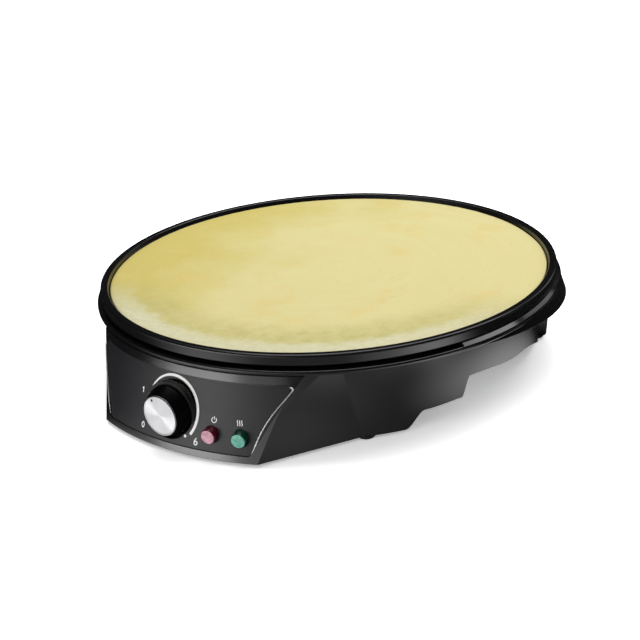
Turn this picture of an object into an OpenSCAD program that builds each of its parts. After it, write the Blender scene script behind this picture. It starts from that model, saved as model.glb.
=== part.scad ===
// Electric crepe maker: a round cast griddle plate on a moulded base with a front console.
// Z is up, the feet stand on z = 0, the plate's axis is the Z axis and the console faces -Y.
// All sizes are in millimetres.

/* [Griddle plate] */
// Outside diameter of the plate
plate_d = 320; // [316:1:324]
// Height of the rim above the table
rim_top = 67; // [66:0.5:69]
// Width of the rim's top face and its inner slope
rim_w = 6.2; // [6:0.1:8]
// Height of the rim above the cooking surface
rim_h = 4; // [3:0.5:5]
// Height of the plate's outer wall
plate_wall = 7.3; // [6.5:0.1:8]
// Thickness of the plate under the cooking surface
plate_t = 4; // [3.5:0.5:5]

/* [Crepe] */
// Thickness of the crepe
crepe_t = 1.2; // [1:0.1:2]

/* [Heating] */
// Radius of the ring of the tubular heater
heater_ring_r = 100; // [96:1:104]
// Diameter of the heater tube
heater_d = 6.6; // [6:0.2:7]

/* [Base] */
// Outside diameter of the base's top ring
ring_d = 326; // [325:0.5:328]
// Thickness of the top ring
ring_t = 3.2; // [2.8:0.1:3.6]
// Radius of the round body under the ring
body_r_top = 150.3; // [149:0.1:152]
// Radius of the round body at its lower edge
body_r_low = 146.3; // [145:0.1:148]
// Wall thickness of the moulding
wall = 2.6; // [2.4:0.1:3]
// Height of the rubber feet below the moulding
foot_h = 2.4; // [2:0.2:3]

/* [Console] */
// Radius of the console's front at the panel's top edge
console_r_top = 165.2; // [164.5:0.1:166]
// Lean of the console's front, from vertical
console_lean = 18.3; // [17:0.1:19.5]
// Width of the console across its bottom corners
console_w = 128; // [124:1:132]
// Angle of the console's side walls to the depth axis
console_flare = 30; // [28:1:32]
// Half width of the panel along its top edge
panel_top_half = 79.5; // [77:0.5:80]
// Half width of the panel along its bottom edge
panel_low_half = 58.7; // [56:0.5:60]

/* [Knob and lamps] */
// Diameter of the knob at its back
knob_d = 34; // [33:0.5:35]
// Diameter of the knob's metal cap
cap_d = 26.8; // [25:0.2:27.2]
// Angle of the pointer at rest, from +X seen from the front
pointer_deg = 119; // [90:1:150]
// Diameter of the lamp lenses
lens_d = 10; // [9:0.2:10.4]

/* [Hidden] */

eps = 0.05;

// Plate levels
plate_r = plate_d / 2;
cook_z = rim_top - rim_h;
plate_under = cook_z - plate_t;
wall_low = rim_top - plate_wall;
cook_r = plate_r - rim_w;
crepe_gap = 0.7;                    // between the crepe's edge and the rim
post_r = 128;                       // radius of the four posts that carry the plate
post_low = 48;
rib_low = 52;                       // lower face of the rib that holds the heater
heater_z = 52.2;
heater_gap_half = 28;               // half of the heater's open angle, at the front
heater_start = -90 + heater_gap_half;
heater_bend = 7;
heater_end = 35;
cold_r = 3.7;                       // radius of the heater's thicker cold ends
bulb_y = -62;                       // the thermostat's bulb lies along X under the plate
bulb_z = 56.5;
bulb_r = 2.4;
clip_pos = [38, -52];               // boss for the bulb's clip

// Reflector pan levels
pan_t = 0.8;
pan_r = 139;
pan_floor = 46;

// Base levels
ring_r = ring_d / 2;
ring_top = 57.5;
ring_low = ring_top - ring_t;
flange_z = ring_low + 0.08;         // the pan's flange rests on the ledge
ledge_low = ring_low - 2.5;
deck_low = 39;
deck_top = 41.4;
deck_in = 112;
cover_z = 28.6;
cover_t = 1.2;
cover_r = 138.5;
cover_screw_r = 121;

// Console
panel_top = 49.2;
panel_low = 6.7;
lean_slope = tan(console_lean);
console_r_low = console_r_top + (panel_top - foot_h) * lean_slope;
panel_seat = 2.3;                   // depth of the recess that the panel sits in
console_wall = 4.9;
console_back = -112;                // inner wall behind the console
corner_y = -sqrt(pow(console_r_low, 2) - pow(console_w / 2, 2));

flare_r = 32;                       // hollow of the flares at the console's upper corners
flare_start = [18.5, 28.6];          // a point of a flare's lower edge, along the side wall and up
flare_climb = 34.5;

// Control axis, horizontal, along -Y
knob_z = 26.8;
knob_r = knob_d / 2;
spot_y = -173;                      // vertical spot face that the knob turns on
spot_floor = 3.5;
knob_back = spot_y - 0.4;
knob_front = -182.7;
spindle_r = 3;
stat_screws = [-11, 11];            // the thermostat's two screws, left and right of the spindle
run_gap = 0.05;

// Lamps, square to the curved panel
lamp_z = 17.2;
lamp_angles = [-79.6, -73];
lens_out = 4.4;
lens_r = lens_d / 2;

// Stands
foot_r = 6;
leg_mid = 39;                       // angle of the rear legs, from +X
leg_half = 5;
foot_pts = [[-98, -101], [98, -101], [-117.8, 87.1], [117.8, 87.1]];

// Skirt edge, as stations [y, z] joined by smooth S curves
side_cut = [[-86.5, foot_h], [-75.5, 13.8], [-50.5, 14.6], [-44.5, 28.2], [10, 23.4], [98, 0]];
rear_cut = [[-84, foot_h], [-68, 21], [68, 21], [84, foot_h]];

// Side grips
grip_mid = 13;
grip_half = 35;
grip_out = 168.5;
grip_drop = 3.5;                    // slope of the grip's lower edge, in degrees

// ---------- helpers ----------

function console_r(z) = console_r_top + (panel_top - z) * lean_slope;
function ease(t) = (1 - cos(180 * t)) / 2;
function s_curve(st, n = 10) =
    [for (i = [0 : len(st) - 2], k = [0 : n - 1])
        let (t = k / n) [st[i][0] + (st[i + 1][0] - st[i][0]) * t,
                         st[i][1] + (st[i + 1][1] - st[i][1]) * ease(t)]];
// The area between such a curve and the table
function below(st) = let (first = st[0], last = st[len(st) - 1])
    concat(s_curve(st), [last, [last[0], -1], [first[0], -1]]);
function arc_pts(cx, cy, r, a0, a1, n = 6) =
    [for (i = [0 : n]) let (a = a0 + (a1 - a0) * i / n) [cx + r * cos(a), cy + r * sin(a)]];

// A rod between two points
module rod(a, b, r) {
    d = b - a;
    l = norm(d);
    translate(a) rotate([0, acos(d[2] / l), atan2(d[1], d[0])]) cylinder(h = l, r = r, $fn = 24);
}

// Smooth curve through a few points
function catmull(a, b, c, d, t) = 0.5 * (2 * b + (c - a) * t
    + (2 * a - 5 * b + 4 * c - d) * t * t + (3 * b - a - 3 * c + d) * t * t * t);
function smooth(p, n = 5) = concat(
    [for (i = [0 : len(p) - 2], k = [0 : n - 1])
        catmull(p[max(i - 1, 0)], p[i], p[i + 1], p[min(i + 2, len(p) - 1)], k / n)],
    [p[len(p) - 1]]);

// A flexible wire along a path, as one swept tube whose rings don't twist
function unit(v) = v / norm(v);
function tangent(p, i) = unit(p[min(i + 1, len(p) - 1)] - p[max(i - 1, 0)]);
function side_of(t) = unit(cross(t, abs(t[2]) < 0.8 ? [0, 0, 1] : [1, 0, 0]));
function carried(u, t) = unit(u - (u * t) * t);
module wire(route, r, sides = 8) {
    path = smooth(route);
    n = len(path);
    frames = [for (i = 0, t = tangent(path, 0), u = side_of(t); i < n;
                   i = i + 1, t = tangent(path, min(i, n - 1)), u = carried(u, t)) [t, u]];
    polyhedron(
        [for (i = [0 : n - 1], k = [0 : sides - 1])
            let (u = frames[i][1], w = cross(frames[i][0], u), a = k * 360 / sides)
                path[i] + r * (cos(a) * u + sin(a) * w)],
        concat([[for (k = [0 : sides - 1]) k]], [[for (k = [sides - 1 : -1 : 0]) (n - 1) * sides + k]],
            [for (i = [0 : n - 2], k = [0 : sides - 1]) let (m = (k + 1) % sides)
                [i * sides + k, (i + 1) * sides + k, (i + 1) * sides + m, i * sides + m]]));
}

// A solid of revolution about the knob's axis: profile points are [distance in front, radius]
module turned(y0, pts, z = knob_z) {
    translate([0, y0, z]) rotate([90, 0, 0])
        rotate_extrude($fn = 72) polygon([for (p = pts) [p[1], p[0]]]);
}

// A round bar along the knob's axis, from y_back forward to y_front
module bar_y(y_back, y_front, r, x = 0, z = knob_z) {
    translate([x, y_back, z]) rotate([90, 0, 0]) cylinder(h = y_back - y_front, r = r, $fn = 72);
}

// A pan-head screw pointing up, head below z
module screw_up(p, z, shank, r = 2, head_r = 3.8, head_h = 2.4) {
    translate([p[0], p[1], z - head_h]) difference() {
        union() {
            cylinder(h = head_h, r = head_r, $fn = 32);
            cylinder(h = head_h + shank, r = r, $fn = 24);
        }
        for (a = [0, 90]) rotate(a) translate([-head_r * 0.6, -0.4, -eps])
            cube([head_r * 1.2, 0.8, 1.1]);
    }
}

module at_posts() {
    for (a = [45 : 90 : 315]) rotate(a) translate([post_r, 0, 0]) children();
}
function polar(r, a) = [r * cos(a), r * sin(a)];

// ---------- griddle plate and what it cooks ----------

plate_profile = concat(
    [[0, plate_under], [0, cook_z], [cook_r - 1.5, cook_z]],
    arc_pts(cook_r - 1.5, cook_z + 2, 2, -90, -35, 5),
    arc_pts(plate_r - 4.2, rim_top - 1.2, 1.2, 145, 90, 4),
    arc_pts(plate_r - 1.5, rim_top - 1.5, 1.5, 90, 0, 6),
    arc_pts(plate_r - 0.8, wall_low + 0.8, 0.8, 0, -90, 4),
    [[plate_r - 9, wall_low], [plate_r - 10, plate_under]]);

module griddle_plate() color([0.09, 0.09, 0.1]) difference() {
    union() {
        rotate_extrude($fn = 180) polygon(plate_profile);
        // rib that grips the heater, with sloping foundry flanks
        rotate(heater_start + 2.5) rotate_extrude(angle = 355 - 2 * heater_gap_half, $fn = 120) polygon([
            [heater_ring_r - 9, plate_under + 1], [heater_ring_r - 6, rib_low],
            [heater_ring_r + 6, rib_low], [heater_ring_r + 9, plate_under + 1]]);
        // stiffening ring and spokes on the underside
        rotate_extrude($fn = 96) polygon([[52, plate_under + 1], [53, plate_under - 2.5],
                                          [56, plate_under - 2.5], [57, plate_under + 1]]);
        for (a = [22.5 : 45 : 359]) rotate(a)
            translate([113, -1.5, plate_under - 2]) cube([30, 3, 3]);
        at_posts() translate([0, 0, post_low]) cylinder(h = plate_under - post_low + 1, r1 = 6, r2 = 7);
        translate([clip_pos[0], clip_pos[1], plate_under - 3]) cylinder(h = 4, r = 3.6, $fn = 32);
    }
    // groove for the heater
    rotate_extrude($fn = 120) translate([heater_ring_r, heater_z]) circle(r = heater_d / 2 + run_gap, $fn = 32);
    at_posts() translate([0, 0, post_low - eps]) cylinder(h = 8.5, r = 1.95, $fn = 24);
    translate([clip_pos[0], clip_pos[1], plate_under - 3 - eps]) cylinder(h = 3.5, r = 1.3, $fn = 24);
}

module crepe() color([0.86, 0.8, 0.56])
    translate([0, 0, cook_z + 0.3]) rotate_extrude($fn = 128)
        polygon(concat([[0, 0]], arc_pts(cook_r - crepe_gap - crepe_t / 2, crepe_t / 2, crepe_t / 2, -90, 90, 6),
                       [[0, crepe_t]]));

// ---------- heating ----------

heater_leg_pos = polar(heater_ring_r, heater_start) + heater_bend * polar(1, heater_start - 90);

// One end of the heater: a ferrule, a bend downwards and a cold end with its pin
module heater_leg() {
    dir = heater_start - 90;
    p = polar(heater_ring_r, heater_start);
    translate([p[0], p[1], heater_z]) rotate([90, 0, dir]) rotate([0, 90, 0])
        translate([0, 0, -2]) cylinder(h = 4, r = heater_d / 2 + 0.6, $fn = 32);
    translate([p[0], p[1], heater_z - heater_bend]) rotate([90, 0, dir])
        rotate_extrude(angle = 90, $fn = 48) translate([heater_bend, 0]) circle(r = heater_d / 2, $fn = 32);
    translate([heater_leg_pos[0], heater_leg_pos[1], heater_end + 3])
        cylinder(h = heater_z - heater_bend - heater_end - 2, r = cold_r, $fn = 48);
    translate([heater_leg_pos[0], heater_leg_pos[1], heater_end - 1]) cylinder(h = 5, r = 1.6, $fn = 24);
}

module heating_element() color([0.45, 0.42, 0.4]) {
    rotate(heater_start) rotate_extrude(angle = 360 - 2 * heater_gap_half, $fn = 120)
        translate([heater_ring_r, heater_z]) circle(r = heater_d / 2, $fn = 32);
    heater_leg();
    mirror([1, 0, 0]) heater_leg();
}

module heater_bush(side) color([0.9, 0.88, 0.82])
    translate([side * heater_leg_pos[0], heater_leg_pos[1], pan_floor - 4]) difference() {
        union() {
            cylinder(h = 6, r = 6, $fn = 48);
            cylinder(h = 4 - eps, r = 7.6, $fn = 48);
        }
        translate([0, 0, -1]) cylinder(h = 9, r = cold_r + run_gap, $fn = 48);
        translate([0, 0, 3]) cylinder(h = 3.1, r1 = cold_r, r2 = 5.2, $fn = 48);
    }

module reflector_pan() color([0.72, 0.72, 0.74]) difference() {
    rotate_extrude($fn = 150) polygon([
        [0, pan_floor], [pan_r - 2, pan_floor], [pan_r + pan_t, pan_floor + 3], [pan_r + pan_t, flange_z],
        [pan_r + 7, flange_z], [pan_r + 7, flange_z + pan_t], [pan_r, flange_z + pan_t],
        [pan_r, pan_floor + 3.4], [pan_r - 2.4, pan_floor + pan_t], [74, pan_floor + pan_t],
        [72, pan_floor + 2.4], [66, pan_floor + 2.4], [64, pan_floor + pan_t], [0, pan_floor + pan_t]]);
    rotate_extrude($fn = 120) polygon([[64.6, pan_floor - 1], [66.2, pan_floor + 1.6],
                                       [71.8, pan_floor + 1.6], [73.4, pan_floor - 1]]);
    at_posts() translate([0, 0, pan_floor - 1]) cylinder(h = 5, r = 9, $fn = 48);
    for (s = [-1, 1]) translate([s * heater_leg_pos[0], heater_leg_pos[1], pan_floor - 1])
        cylinder(h = 4, r = 6.1, $fn = 48);
    translate([10, -84, pan_floor - 1]) cylinder(h = 5, r = 4, $fn = 32);
}

module plate_spacer(i) color([0.88, 0.86, 0.8])
    rotate(i * 90 - 45) translate([post_r, 0, deck_top]) difference() {
        union() {
            cylinder(h = post_low - deck_top, r = 6.5, $fn = 48);
            cylinder(h = 2, r = 8, $fn = 48);
        }
        translate([0, 0, -1]) cylinder(h = 10, r = 2.3, $fn = 32);
    }

module plate_screws() color([0.75, 0.75, 0.77])
    for (i = [0 : 3]) screw_up(polar(post_r, 45 + 90 * i), deck_low, 16, 1.9);

// ---------- base ----------

// Everything inside the console's two side walls, pulled in by d
module console_wedge(d = 0) {
    k = tan(console_flare);
    shift = d / cos(console_flare);
    x_front = console_w / 2 - shift + (-200 - corner_y) * k;
    x_back = console_w / 2 - shift + (-92 - corner_y) * k;
    linear_extrude(height = 100)
        polygon([[-x_front, -200], [x_front, -200], [x_back, -92], [-x_back, -92]]);
}

// The console's leaning front, pulled in by d, with the ring's front face above it
module console_cone(d = 0) {
    translate([0, 0, foot_h]) cylinder(h = panel_top - foot_h, r1 = console_r_low - d,
                                       r2 = console_r_top - d, $fn = 180);
    translate([0, 0, panel_top - eps]) cylinder(h = ring_low - panel_top + 2 * eps,
        r1 = console_r_top - d, r2 = ring_r + 0.4 - d, $fn = 180);
}

module console_block() {
    intersection() {
        console_cone();
        union() {
            console_wedge();
            for (m = [0, 1]) mirror([m, 0, 0]) corner_flare();
        }
        translate([0, 0, foot_h]) cylinder(h = ring_low - foot_h + eps, r = 200);
    }
}

// Hollow flare that carries each side wall out to the ring, behind the panel's upper corner.
// It starts flush with the wall along a line that climbs towards the back.
module corner_flare() {
    sunk = 0.25;
    translate([console_w / 2, corner_y, 0]) rotate(90 - console_flare)
        translate([flare_start[0], 0, flare_start[1]]) rotate([0, -flare_climb, 0]) difference() {
            translate([-18, -9, 0]) cube([64, 10, 26]);
            translate([-20, sunk - flare_r, 0]) rotate([0, 90, 0]) cylinder(h = 70, r = flare_r, $fn = 96);
        }
}

// The skirt: a conical wall with an arched lower edge
module skirt_solid(d = 0) {
    translate([0, 0, foot_h - (d > 0 ? 1 : 0)])
        cylinder(h = ring_low - foot_h + (d > 0 ? 2 : 0.5), r1 = body_r_low - d, r2 = body_r_top - d, $fn = 180);
}

module skirt_cuts() {
    side_shape = below(side_cut);
    rear_shape = below(rear_cut);
    for (m = [0, 1]) mirror([m, 0, 0]) translate([90, 0, 0])
        rotate([90, 0, 90]) linear_extrude(height = 90) polygon(side_shape);
    translate([0, 170, 0]) rotate([90, 0, 0]) linear_extrude(height = 65) polygon(rear_shape);
}

module rear_leg() {
    rotate(leg_mid - leg_half) rotate_extrude(angle = 2 * leg_half, $fn = 120) polygon([
        [body_r_low - 0.8, foot_h + 0.5], [body_r_low + 6, foot_h + 0.5], [body_r_low + 7.2, foot_h + 2],
        [body_r_low + 11.2, 45], [body_r_low + 8, ring_low - 1], [body_r_top - 0.8, ring_low - 1]]);
}

// Crescent that widens the ring into a hand grip; its lower edge droops towards the rear
module side_grip() {
    chord = ring_r * cos(grip_half);
    half = ring_r * sin(grip_half);
    off = (pow(grip_out, 2) - pow(chord, 2) - pow(half, 2)) / (2 * (grip_out - chord));
    rho = grip_out - off;
    difference() {
        intersection() {
            rotate(grip_mid) translate([off, 0, ring_top - 16])
                cylinder(h = 16, r1 = rho, r2 = rho - (grip_out - ring_r) + 0.4, $fn = 180);
            translate([100, 0, 50.2]) rotate([-grip_drop, 0, 0]) translate([-50, -150, 0]) cube([200, 300, 40]);
            rotate(grip_mid - 40) rotate_extrude(angle = 80, $fn = 180)
                translate([pan_r + 7.6, 20]) square([60, 60]);
        }
        translate([0, 0, 30]) cylinder(h = ring_low - 30 - eps, r = ring_r - 3.2, $fn = 180);
    }
    // raised seat that closes the gap under the plate along the grip
    rotate(grip_mid - grip_half - 1) rotate_extrude(angle = 2 * grip_half + 2, $fn = 180)
        polygon([[ring_r - 8, ring_top - 1], [ring_r - 8, ring_top + 1.2], [ring_r - 3.2, ring_top + 1.6],
                 [ring_r - 0.6, ring_top - 0.2], [ring_r - 0.6, ring_top - 1]]);
}

module base_housing() color([0.12, 0.12, 0.13]) difference() {
    union() {
        // top ring with rounded rim, and the ledge that carries the pan
        rotate_extrude($fn = 180) polygon(concat(
            [[pan_r + 7.6, ring_low]], arc_pts(ring_r - 0.9, ring_low + 0.9, 0.9, -90, 0, 4),
            arc_pts(ring_r - 1.4, ring_top - 1.4, 1.4, 0, 90, 5), [[pan_r + 7.6, ring_top]]));
        rotate_extrude($fn = 180) polygon([
            [pan_r + 2, ledge_low], [body_r_top - 1, ledge_low], [body_r_top - 1, ring_low + 0.5],
            [pan_r + 7.6, ring_low + 0.5], [pan_r + 7.6, ring_low], [pan_r + 2, ring_low]]);
        // skirt, cut to its arched edge, then the legs
        difference() {
            skirt_solid();
            skirt_solid(wall);
            skirt_cuts();
            translate([0, 0, -1]) console_wedge(wall);
        }
        for (m = [0, 1]) mirror([m, 0, 0]) rear_leg();
        // deck with downward bosses for the bottom cover
        translate([0, 0, deck_low]) difference() {
            cylinder(h = deck_top - deck_low, r = body_r_top - 2, $fn = 150);
            translate([0, 0, -1]) cylinder(h = 5, r = deck_in, $fn = 120);
            translate([-72, -200, -1]) cube([144, 86, 6]);
            translate([-14, 100, -1]) cube([28, 40, 6]);
        }
        for (a = [0 : 60 : 359]) if (a != 300 && a != 240)
            translate(concat(polar(cover_screw_r, a), [cover_z + cover_t]))
                cylinder(h = deck_low - cover_z - cover_t + 1, r = 4.5, $fn = 32);
        // sockets for the feet
        for (p = foot_pts) intersection() {
            translate([p[0], p[1], foot_h]) cylinder(h = 22, r = 8, $fn = 48);
            skirt_solid(wall / 2);
        }
        // console shell
        difference() {
            console_block();
            // cavity, open below and above, with a low wall left standing across its back
            difference() {
                intersection() {
                    union() {
                        console_cone(console_wall);
                        translate([0, 0, foot_h - 1]) cylinder(h = 1 + eps, r = console_r_low - console_wall);
                        cylinder(h = ring_low + 1, r = console_r_top - console_wall - 2, $fn = 180);
                    }
                    translate([0, 0, -1]) console_wedge(wall);
                }
                translate([-200, console_back, -1]) cube([400, wall, deck_top + 1]);
            }
            translate([-200, console_back + wall, -1]) cube([400, 60, 80]);
            // way for the wires
            translate([-36, console_back - 1, 31]) cube([72, wall + 2, 30]);
        }
        // posts for the console cover
        for (x = [-72, 0, 72]) translate([x, console_back - 4, 5.02]) cylinder(h = 22, r = 4.5, $fn = 32);
        // grips
        for (m = [0, 1]) mirror([m, 0, 0]) side_grip();
        // saddle for the cord clamp and sleeve for the inlet bush
        translate([0, body_r_top - 12, 34.4]) rotate([-90, 0, 0]) cylinder(h = 10.6, r = 9.4, $fn = 48);
    }
    // recess for the panel
    difference() {
        panel_prism(0.15);
        console_cone(panel_seat);
    }
    // opening behind the knob, lamp holes, post and screw holes
    bar_y(-150, -190, 19.4);
    for (a = lamp_angles) rotate(a) translate([150, 0, lamp_z]) rotate([0, 90, 0])
        cylinder(h = 40, r = lens_r + 0.3, $fn = 48);
    at_posts() translate([0, 0, deck_low - 1]) cylinder(h = 6, r = 2.3, $fn = 32);
    for (a = [0 : 60 : 359]) translate(concat(polar(cover_screw_r, a), [cover_z])) cylinder(h = 9, r = 1.6, $fn = 24);
    for (x = [-72, 0, 72]) translate([x, console_back - 4, 0]) cylinder(h = 16, r = 1.6, $fn = 24);
    for (p = foot_pts) translate([p[0], p[1], foot_h - 1]) cylinder(h = 9, r = 3.02, $fn = 32);
    translate([0, 120, 34.4]) rotate([-90, 0, 0]) cylinder(h = 60, r = 7.05, $fn = 48);
}

// Block that cuts the panel's outline through the console's front; g widens it all round
module panel_prism(g = 0) {
    slope = (panel_top_half - panel_low_half) / (panel_top - panel_low);
    top_x = panel_top_half + g;
    low_x = panel_low_half + g;
    r = 3;
    translate([0, -130, 0]) rotate([90, 0, 0]) linear_extrude(height = 60) polygon([
        [-low_x + 1, panel_low - g], [low_x - 1, panel_low - g], [low_x, panel_low - g + 1],
        [top_x - r * slope * 1.6, panel_top + g - r], [top_x - r * 0.6, panel_top + g - 1],
        [top_x - r * 1.3, panel_top + g], [-top_x + r * 1.3, panel_top + g],
        [-top_x + r * 0.6, panel_top + g - 1], [-top_x + r * slope * 1.6, panel_top + g - r],
        [-low_x, panel_low - g + 1]]);
}

module control_panel() color([0.2, 0.2, 0.21]) difference() {
    union() {
        intersection() {
            panel_prism();
            difference() {
                console_cone(0.35);
                console_cone(panel_seat - 0.05);
            }
        }
        // collar with a vertical face, square to the knob's axis
        intersection() {
            bar_y(spot_y + spot_floor, -185, 19);
            console_cone(0.35);
        }
        bar_y(spot_y + spot_floor, spot_y, 19);
    }
    bar_y(spot_y, -195, knob_r + 0.8);
    bar_y(-150, spot_y + spot_floor, knob_r + 0.8);
    bar_y(-160, -190, 4);
    for (x = stat_screws) bar_y(-160, -190, 1.5, x);
    for (a = lamp_angles) rotate(a) translate([150, 0, lamp_z]) rotate([0, 90, 0])
        cylinder(h = 40, r = lens_r + run_gap, $fn = 48);
}

module bottom_cover() color([0.62, 0.62, 0.64]) difference() {
    translate([0, 0, cover_z]) cylinder(h = cover_t, r = cover_r, $fn = 150);
    translate([-200, -200, cover_z - 1]) cube([400, 200 + console_back + wall + 0.4, 5]);
    translate([-11, 131, cover_z - 1]) cube([22, 20, 5]);
    for (a = [0 : 60 : 359]) if (a != 300 && a != 240)
        translate(concat(polar(cover_screw_r, a), [cover_z - 1])) cylinder(h = 4, r = 1.9, $fn = 24);
    // vent slots in four fields
    for (q = [0 : 90 : 359], i = [-3 : 3]) rotate(q) translate([62 - abs(i) * 2, i * 8 - 1.5, cover_z - 1])
        cube([36, 3, 5]);
}

module cover_screws() color([0.7, 0.7, 0.72])
    for (a = [0 : 60 : 359]) if (a != 300 && a != 240)
        screw_up(polar(cover_screw_r, a), cover_z, 7.5, 1.55, 3.2, 2);

module console_cover() color([0.14, 0.14, 0.15]) difference() {
    intersection() {
        translate([0, 0, 3.1]) cylinder(h = 1.9, r = console_r(5) - console_wall - 0.4, $fn = 180);
        console_wedge(wall + 0.4);
        translate([-200, -200, 0]) cube([400, 200 + console_back - 0.4, 20]);
    }
    for (x = [-72, 0, 72]) translate([x, console_back - 4, 0]) cylinder(h = 9, r = 1.9, $fn = 24);
    for (i = [-4 : 4]) translate([i * 9 - 1.5, -150, 0]) cube([3, 24, 9]);
}

module console_cover_screws() color([0.7, 0.7, 0.72])
    for (x = [-72, 0, 72]) screw_up([x, console_back - 4], 3.1, 7.5, 1.55, 3.2, 1.4);

module foot(i) color([0.1, 0.1, 0.1])
    translate([foot_pts[i][0], foot_pts[i][1], 0]) {
        rotate_extrude($fn = 48) polygon([[0, 0], [foot_r - 0.8, 0], [foot_r, 0.8], [foot_r, foot_h], [0, foot_h]]);
        translate([0, 0, foot_h - eps]) cylinder(h = 6, r = 3, $fn = 32);
    }

// ---------- thermostat ----------

module thermostat_bracket() color([0.75, 0.75, 0.77]) difference() {
    translate([-15, spot_y + spot_floor, knob_z - 8]) cube([30, 1.5, 16]);
    bar_y(-160, -180, 4);
    for (x = stat_screws) bar_y(-160, -180, 1.25, x);
}

module thermostat_screws() color([0.7, 0.7, 0.72])
    for (x = stat_screws) {
        bar_y(spot_y + 7, spot_y, 1.2, x);
        bar_y(spot_y, spot_y - 1.4, 2.3, x);
    }

module thermostat_body() color([0.85, 0.8, 0.66]) difference() {
    union() {
        bar_y(-156, spot_y + spot_floor + 1.5, 12.2);
        translate([-18, -157, knob_z - 18]) cube([36, 12, 36]);
    }
    bar_y(-148, -180, spindle_r + run_gap);
    for (x = stat_screws) bar_y(-164, -180, 1.25, x);
}

module thermostat_terminals() color([0.8, 0.66, 0.3])
    for (x = [-9, 9]) translate([x - 3.15, -145, knob_z + 6]) cube([6.3, 9, 0.8]);

module thermostat_capillary() color([0.75, 0.5, 0.32]) {
    wire([[10, -144.4, 38], [10, -132, 43.2], [10, -98, 43.6], [10, -84, 45.5], [10, -80, 50],
          [10, bulb_y - 6, 54], [12, bulb_y, bulb_z], [15, bulb_y, bulb_z]], 1);
    rod([15, bulb_y, bulb_z], [62, bulb_y, bulb_z], bulb_r);
}

module bulb_clip() color([0.75, 0.75, 0.77]) difference() {
    union() {
        translate([clip_pos[0] - 5, bulb_y, bulb_z]) rotate([0, 90, 0]) cylinder(h = 10, r = bulb_r + 0.9, $fn = 32);
        translate([clip_pos[0] - 5, bulb_y + 2.6, plate_under - 3.8])
            cube([10, clip_pos[1] - bulb_y + 2, 0.8]);
    }
    translate([clip_pos[0] - 9, bulb_y, bulb_z]) rotate([0, 90, 0]) cylinder(h = 20, r = bulb_r + run_gap, $fn = 32);
    translate([clip_pos[0] - 9, bulb_y - 5, bulb_z]) cube([20, 10, 10]);
    translate([clip_pos[0], clip_pos[1], plate_under - 5]) cylinder(h = 4, r = 1.6, $fn = 24);
}

module bulb_clip_screw() color([0.7, 0.7, 0.72])
    screw_up(clip_pos, plate_under - 3.8, 3, 1.25, 2.5, 1.5);

module thermostat_spindle() color([0.78, 0.78, 0.8]) difference() {
    bar_y(-148.5, -180.6, spindle_r);
    translate([-5, -182, knob_z + 2]) cube([10, 9, 5]);
}

// ---------- knob: turns about the horizontal axis ----------

knob_len = knob_back - knob_front;
module knob() color([0.06, 0.06, 0.06]) difference() {
    turned(knob_back, concat([[0, 0], [0, knob_r]], [[1.2, knob_r]],
        [for (t = [0.2 : 0.2 : 1]) [1.2 + t * (knob_len - 2), knob_r - 3 * pow(t, 1.3)]],
        [[knob_len, knob_r - 3.5], [knob_len, 0]]));
    // hollow back with the hub left standing
    difference() {
        turned(knob_back, [[-1, 0], [-1, knob_r - 1.8], [6, knob_r - 4], [6, 0]]);
        bar_y(knob_back + 1, knob_front, 5.4);
        for (a = [30, 150, 270]) translate([0, 0, knob_z]) rotate([0, a, 0])
            translate([0, knob_back - 6.5, -0.6]) cube([knob_r - 2, 4, 1.2]);
    }
    difference() {
        bar_y(knob_back + 1, -180.8, spindle_r + 0.03);
        translate([-5, -182, knob_z + 2.05]) cube([10, 9, 5]);
    }
    bar_y(knob_front + 0.5, knob_front - 1, cap_d / 2 + run_gap);
}

module knob_spring() color([0.8, 0.8, 0.82]) difference() {
    bar_y(knob_back, knob_back - 1.2, 6.4);
    bar_y(knob_back + 1, knob_back - 3, 5.45);
    translate([-1, knob_back - 5, knob_z]) cube([2, 10, 10]);
}

module knob_cap() color([0.8, 0.8, 0.81]) difference() {
    turned(knob_front + 0.5, [[0, 0], [0, cap_d / 2], [0.9, cap_d / 2], [1.3, cap_d / 2 - 0.5],
                              [1.3, cap_d / 2 - 0.9], [1.15, cap_d / 2 - 1.1], [1.15, 0]]);
    bar_y(knob_front + 1, knob_front - 3, 0.95, 11 * cos(pointer_deg), knob_z + 11 * sin(pointer_deg));
}

module knob_pointer() color([0.05, 0.05, 0.05])
    bar_y(knob_front + 0.5, knob_front - 0.6, 0.9, 11 * cos(pointer_deg), knob_z + 11 * sin(pointer_deg));

// ---------- lamps ----------

module at_lamp(i) {
    rotate(lamp_angles[i]) translate([console_r(lamp_z), 0, lamp_z]) rotate([0, 90, 0]) children();
}

module lens(i) at_lamp(i) difference() {
    translate([0, 0, -9]) rotate_extrude($fn = 64) polygon(concat(
        [[0, 0], [lens_r, 0]], arc_pts(lens_r - 1.1, 9 + lens_out - 1.1, 1.1, 0, 70, 5),
        [[0, 9 + lens_out]]));
    translate([0, 0, -10]) cylinder(h = 11, r = lens_r - 1.2, $fn = 48);
}
module power_lens() color([0.75, 0.25, 0.35]) lens(0);
module ready_lens() color([0.12, 0.5, 0.42]) lens(1);

module neon(i) color([0.9, 0.85, 0.8]) at_lamp(i) {
    translate([0, 0, -8]) rotate_extrude($fn = 48) polygon(concat([[0, 0], [2.6, 0], [2.6, 5.4]],
        arc_pts(0, 5.4, 2.6, 15, 90, 5)));
    translate([0, 0, -11]) cylinder(h = 4, r = lens_r - 1.25, $fn = 32);
    translate([0, 0, -16]) cylinder(h = 5 + eps, r = 1.6, $fn = 24);
}

module lens_clip(i) color([0.75, 0.75, 0.77]) at_lamp(i)
    translate([0, 0, -8.9]) difference() {
        cylinder(h = 1.2, r = lens_r + 1.4, $fn = 48);
        translate([0, 0, -1]) cylinder(h = 4, r = lens_r + run_gap, $fn = 48);
    }

// ---------- wiring compartment ----------

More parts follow.
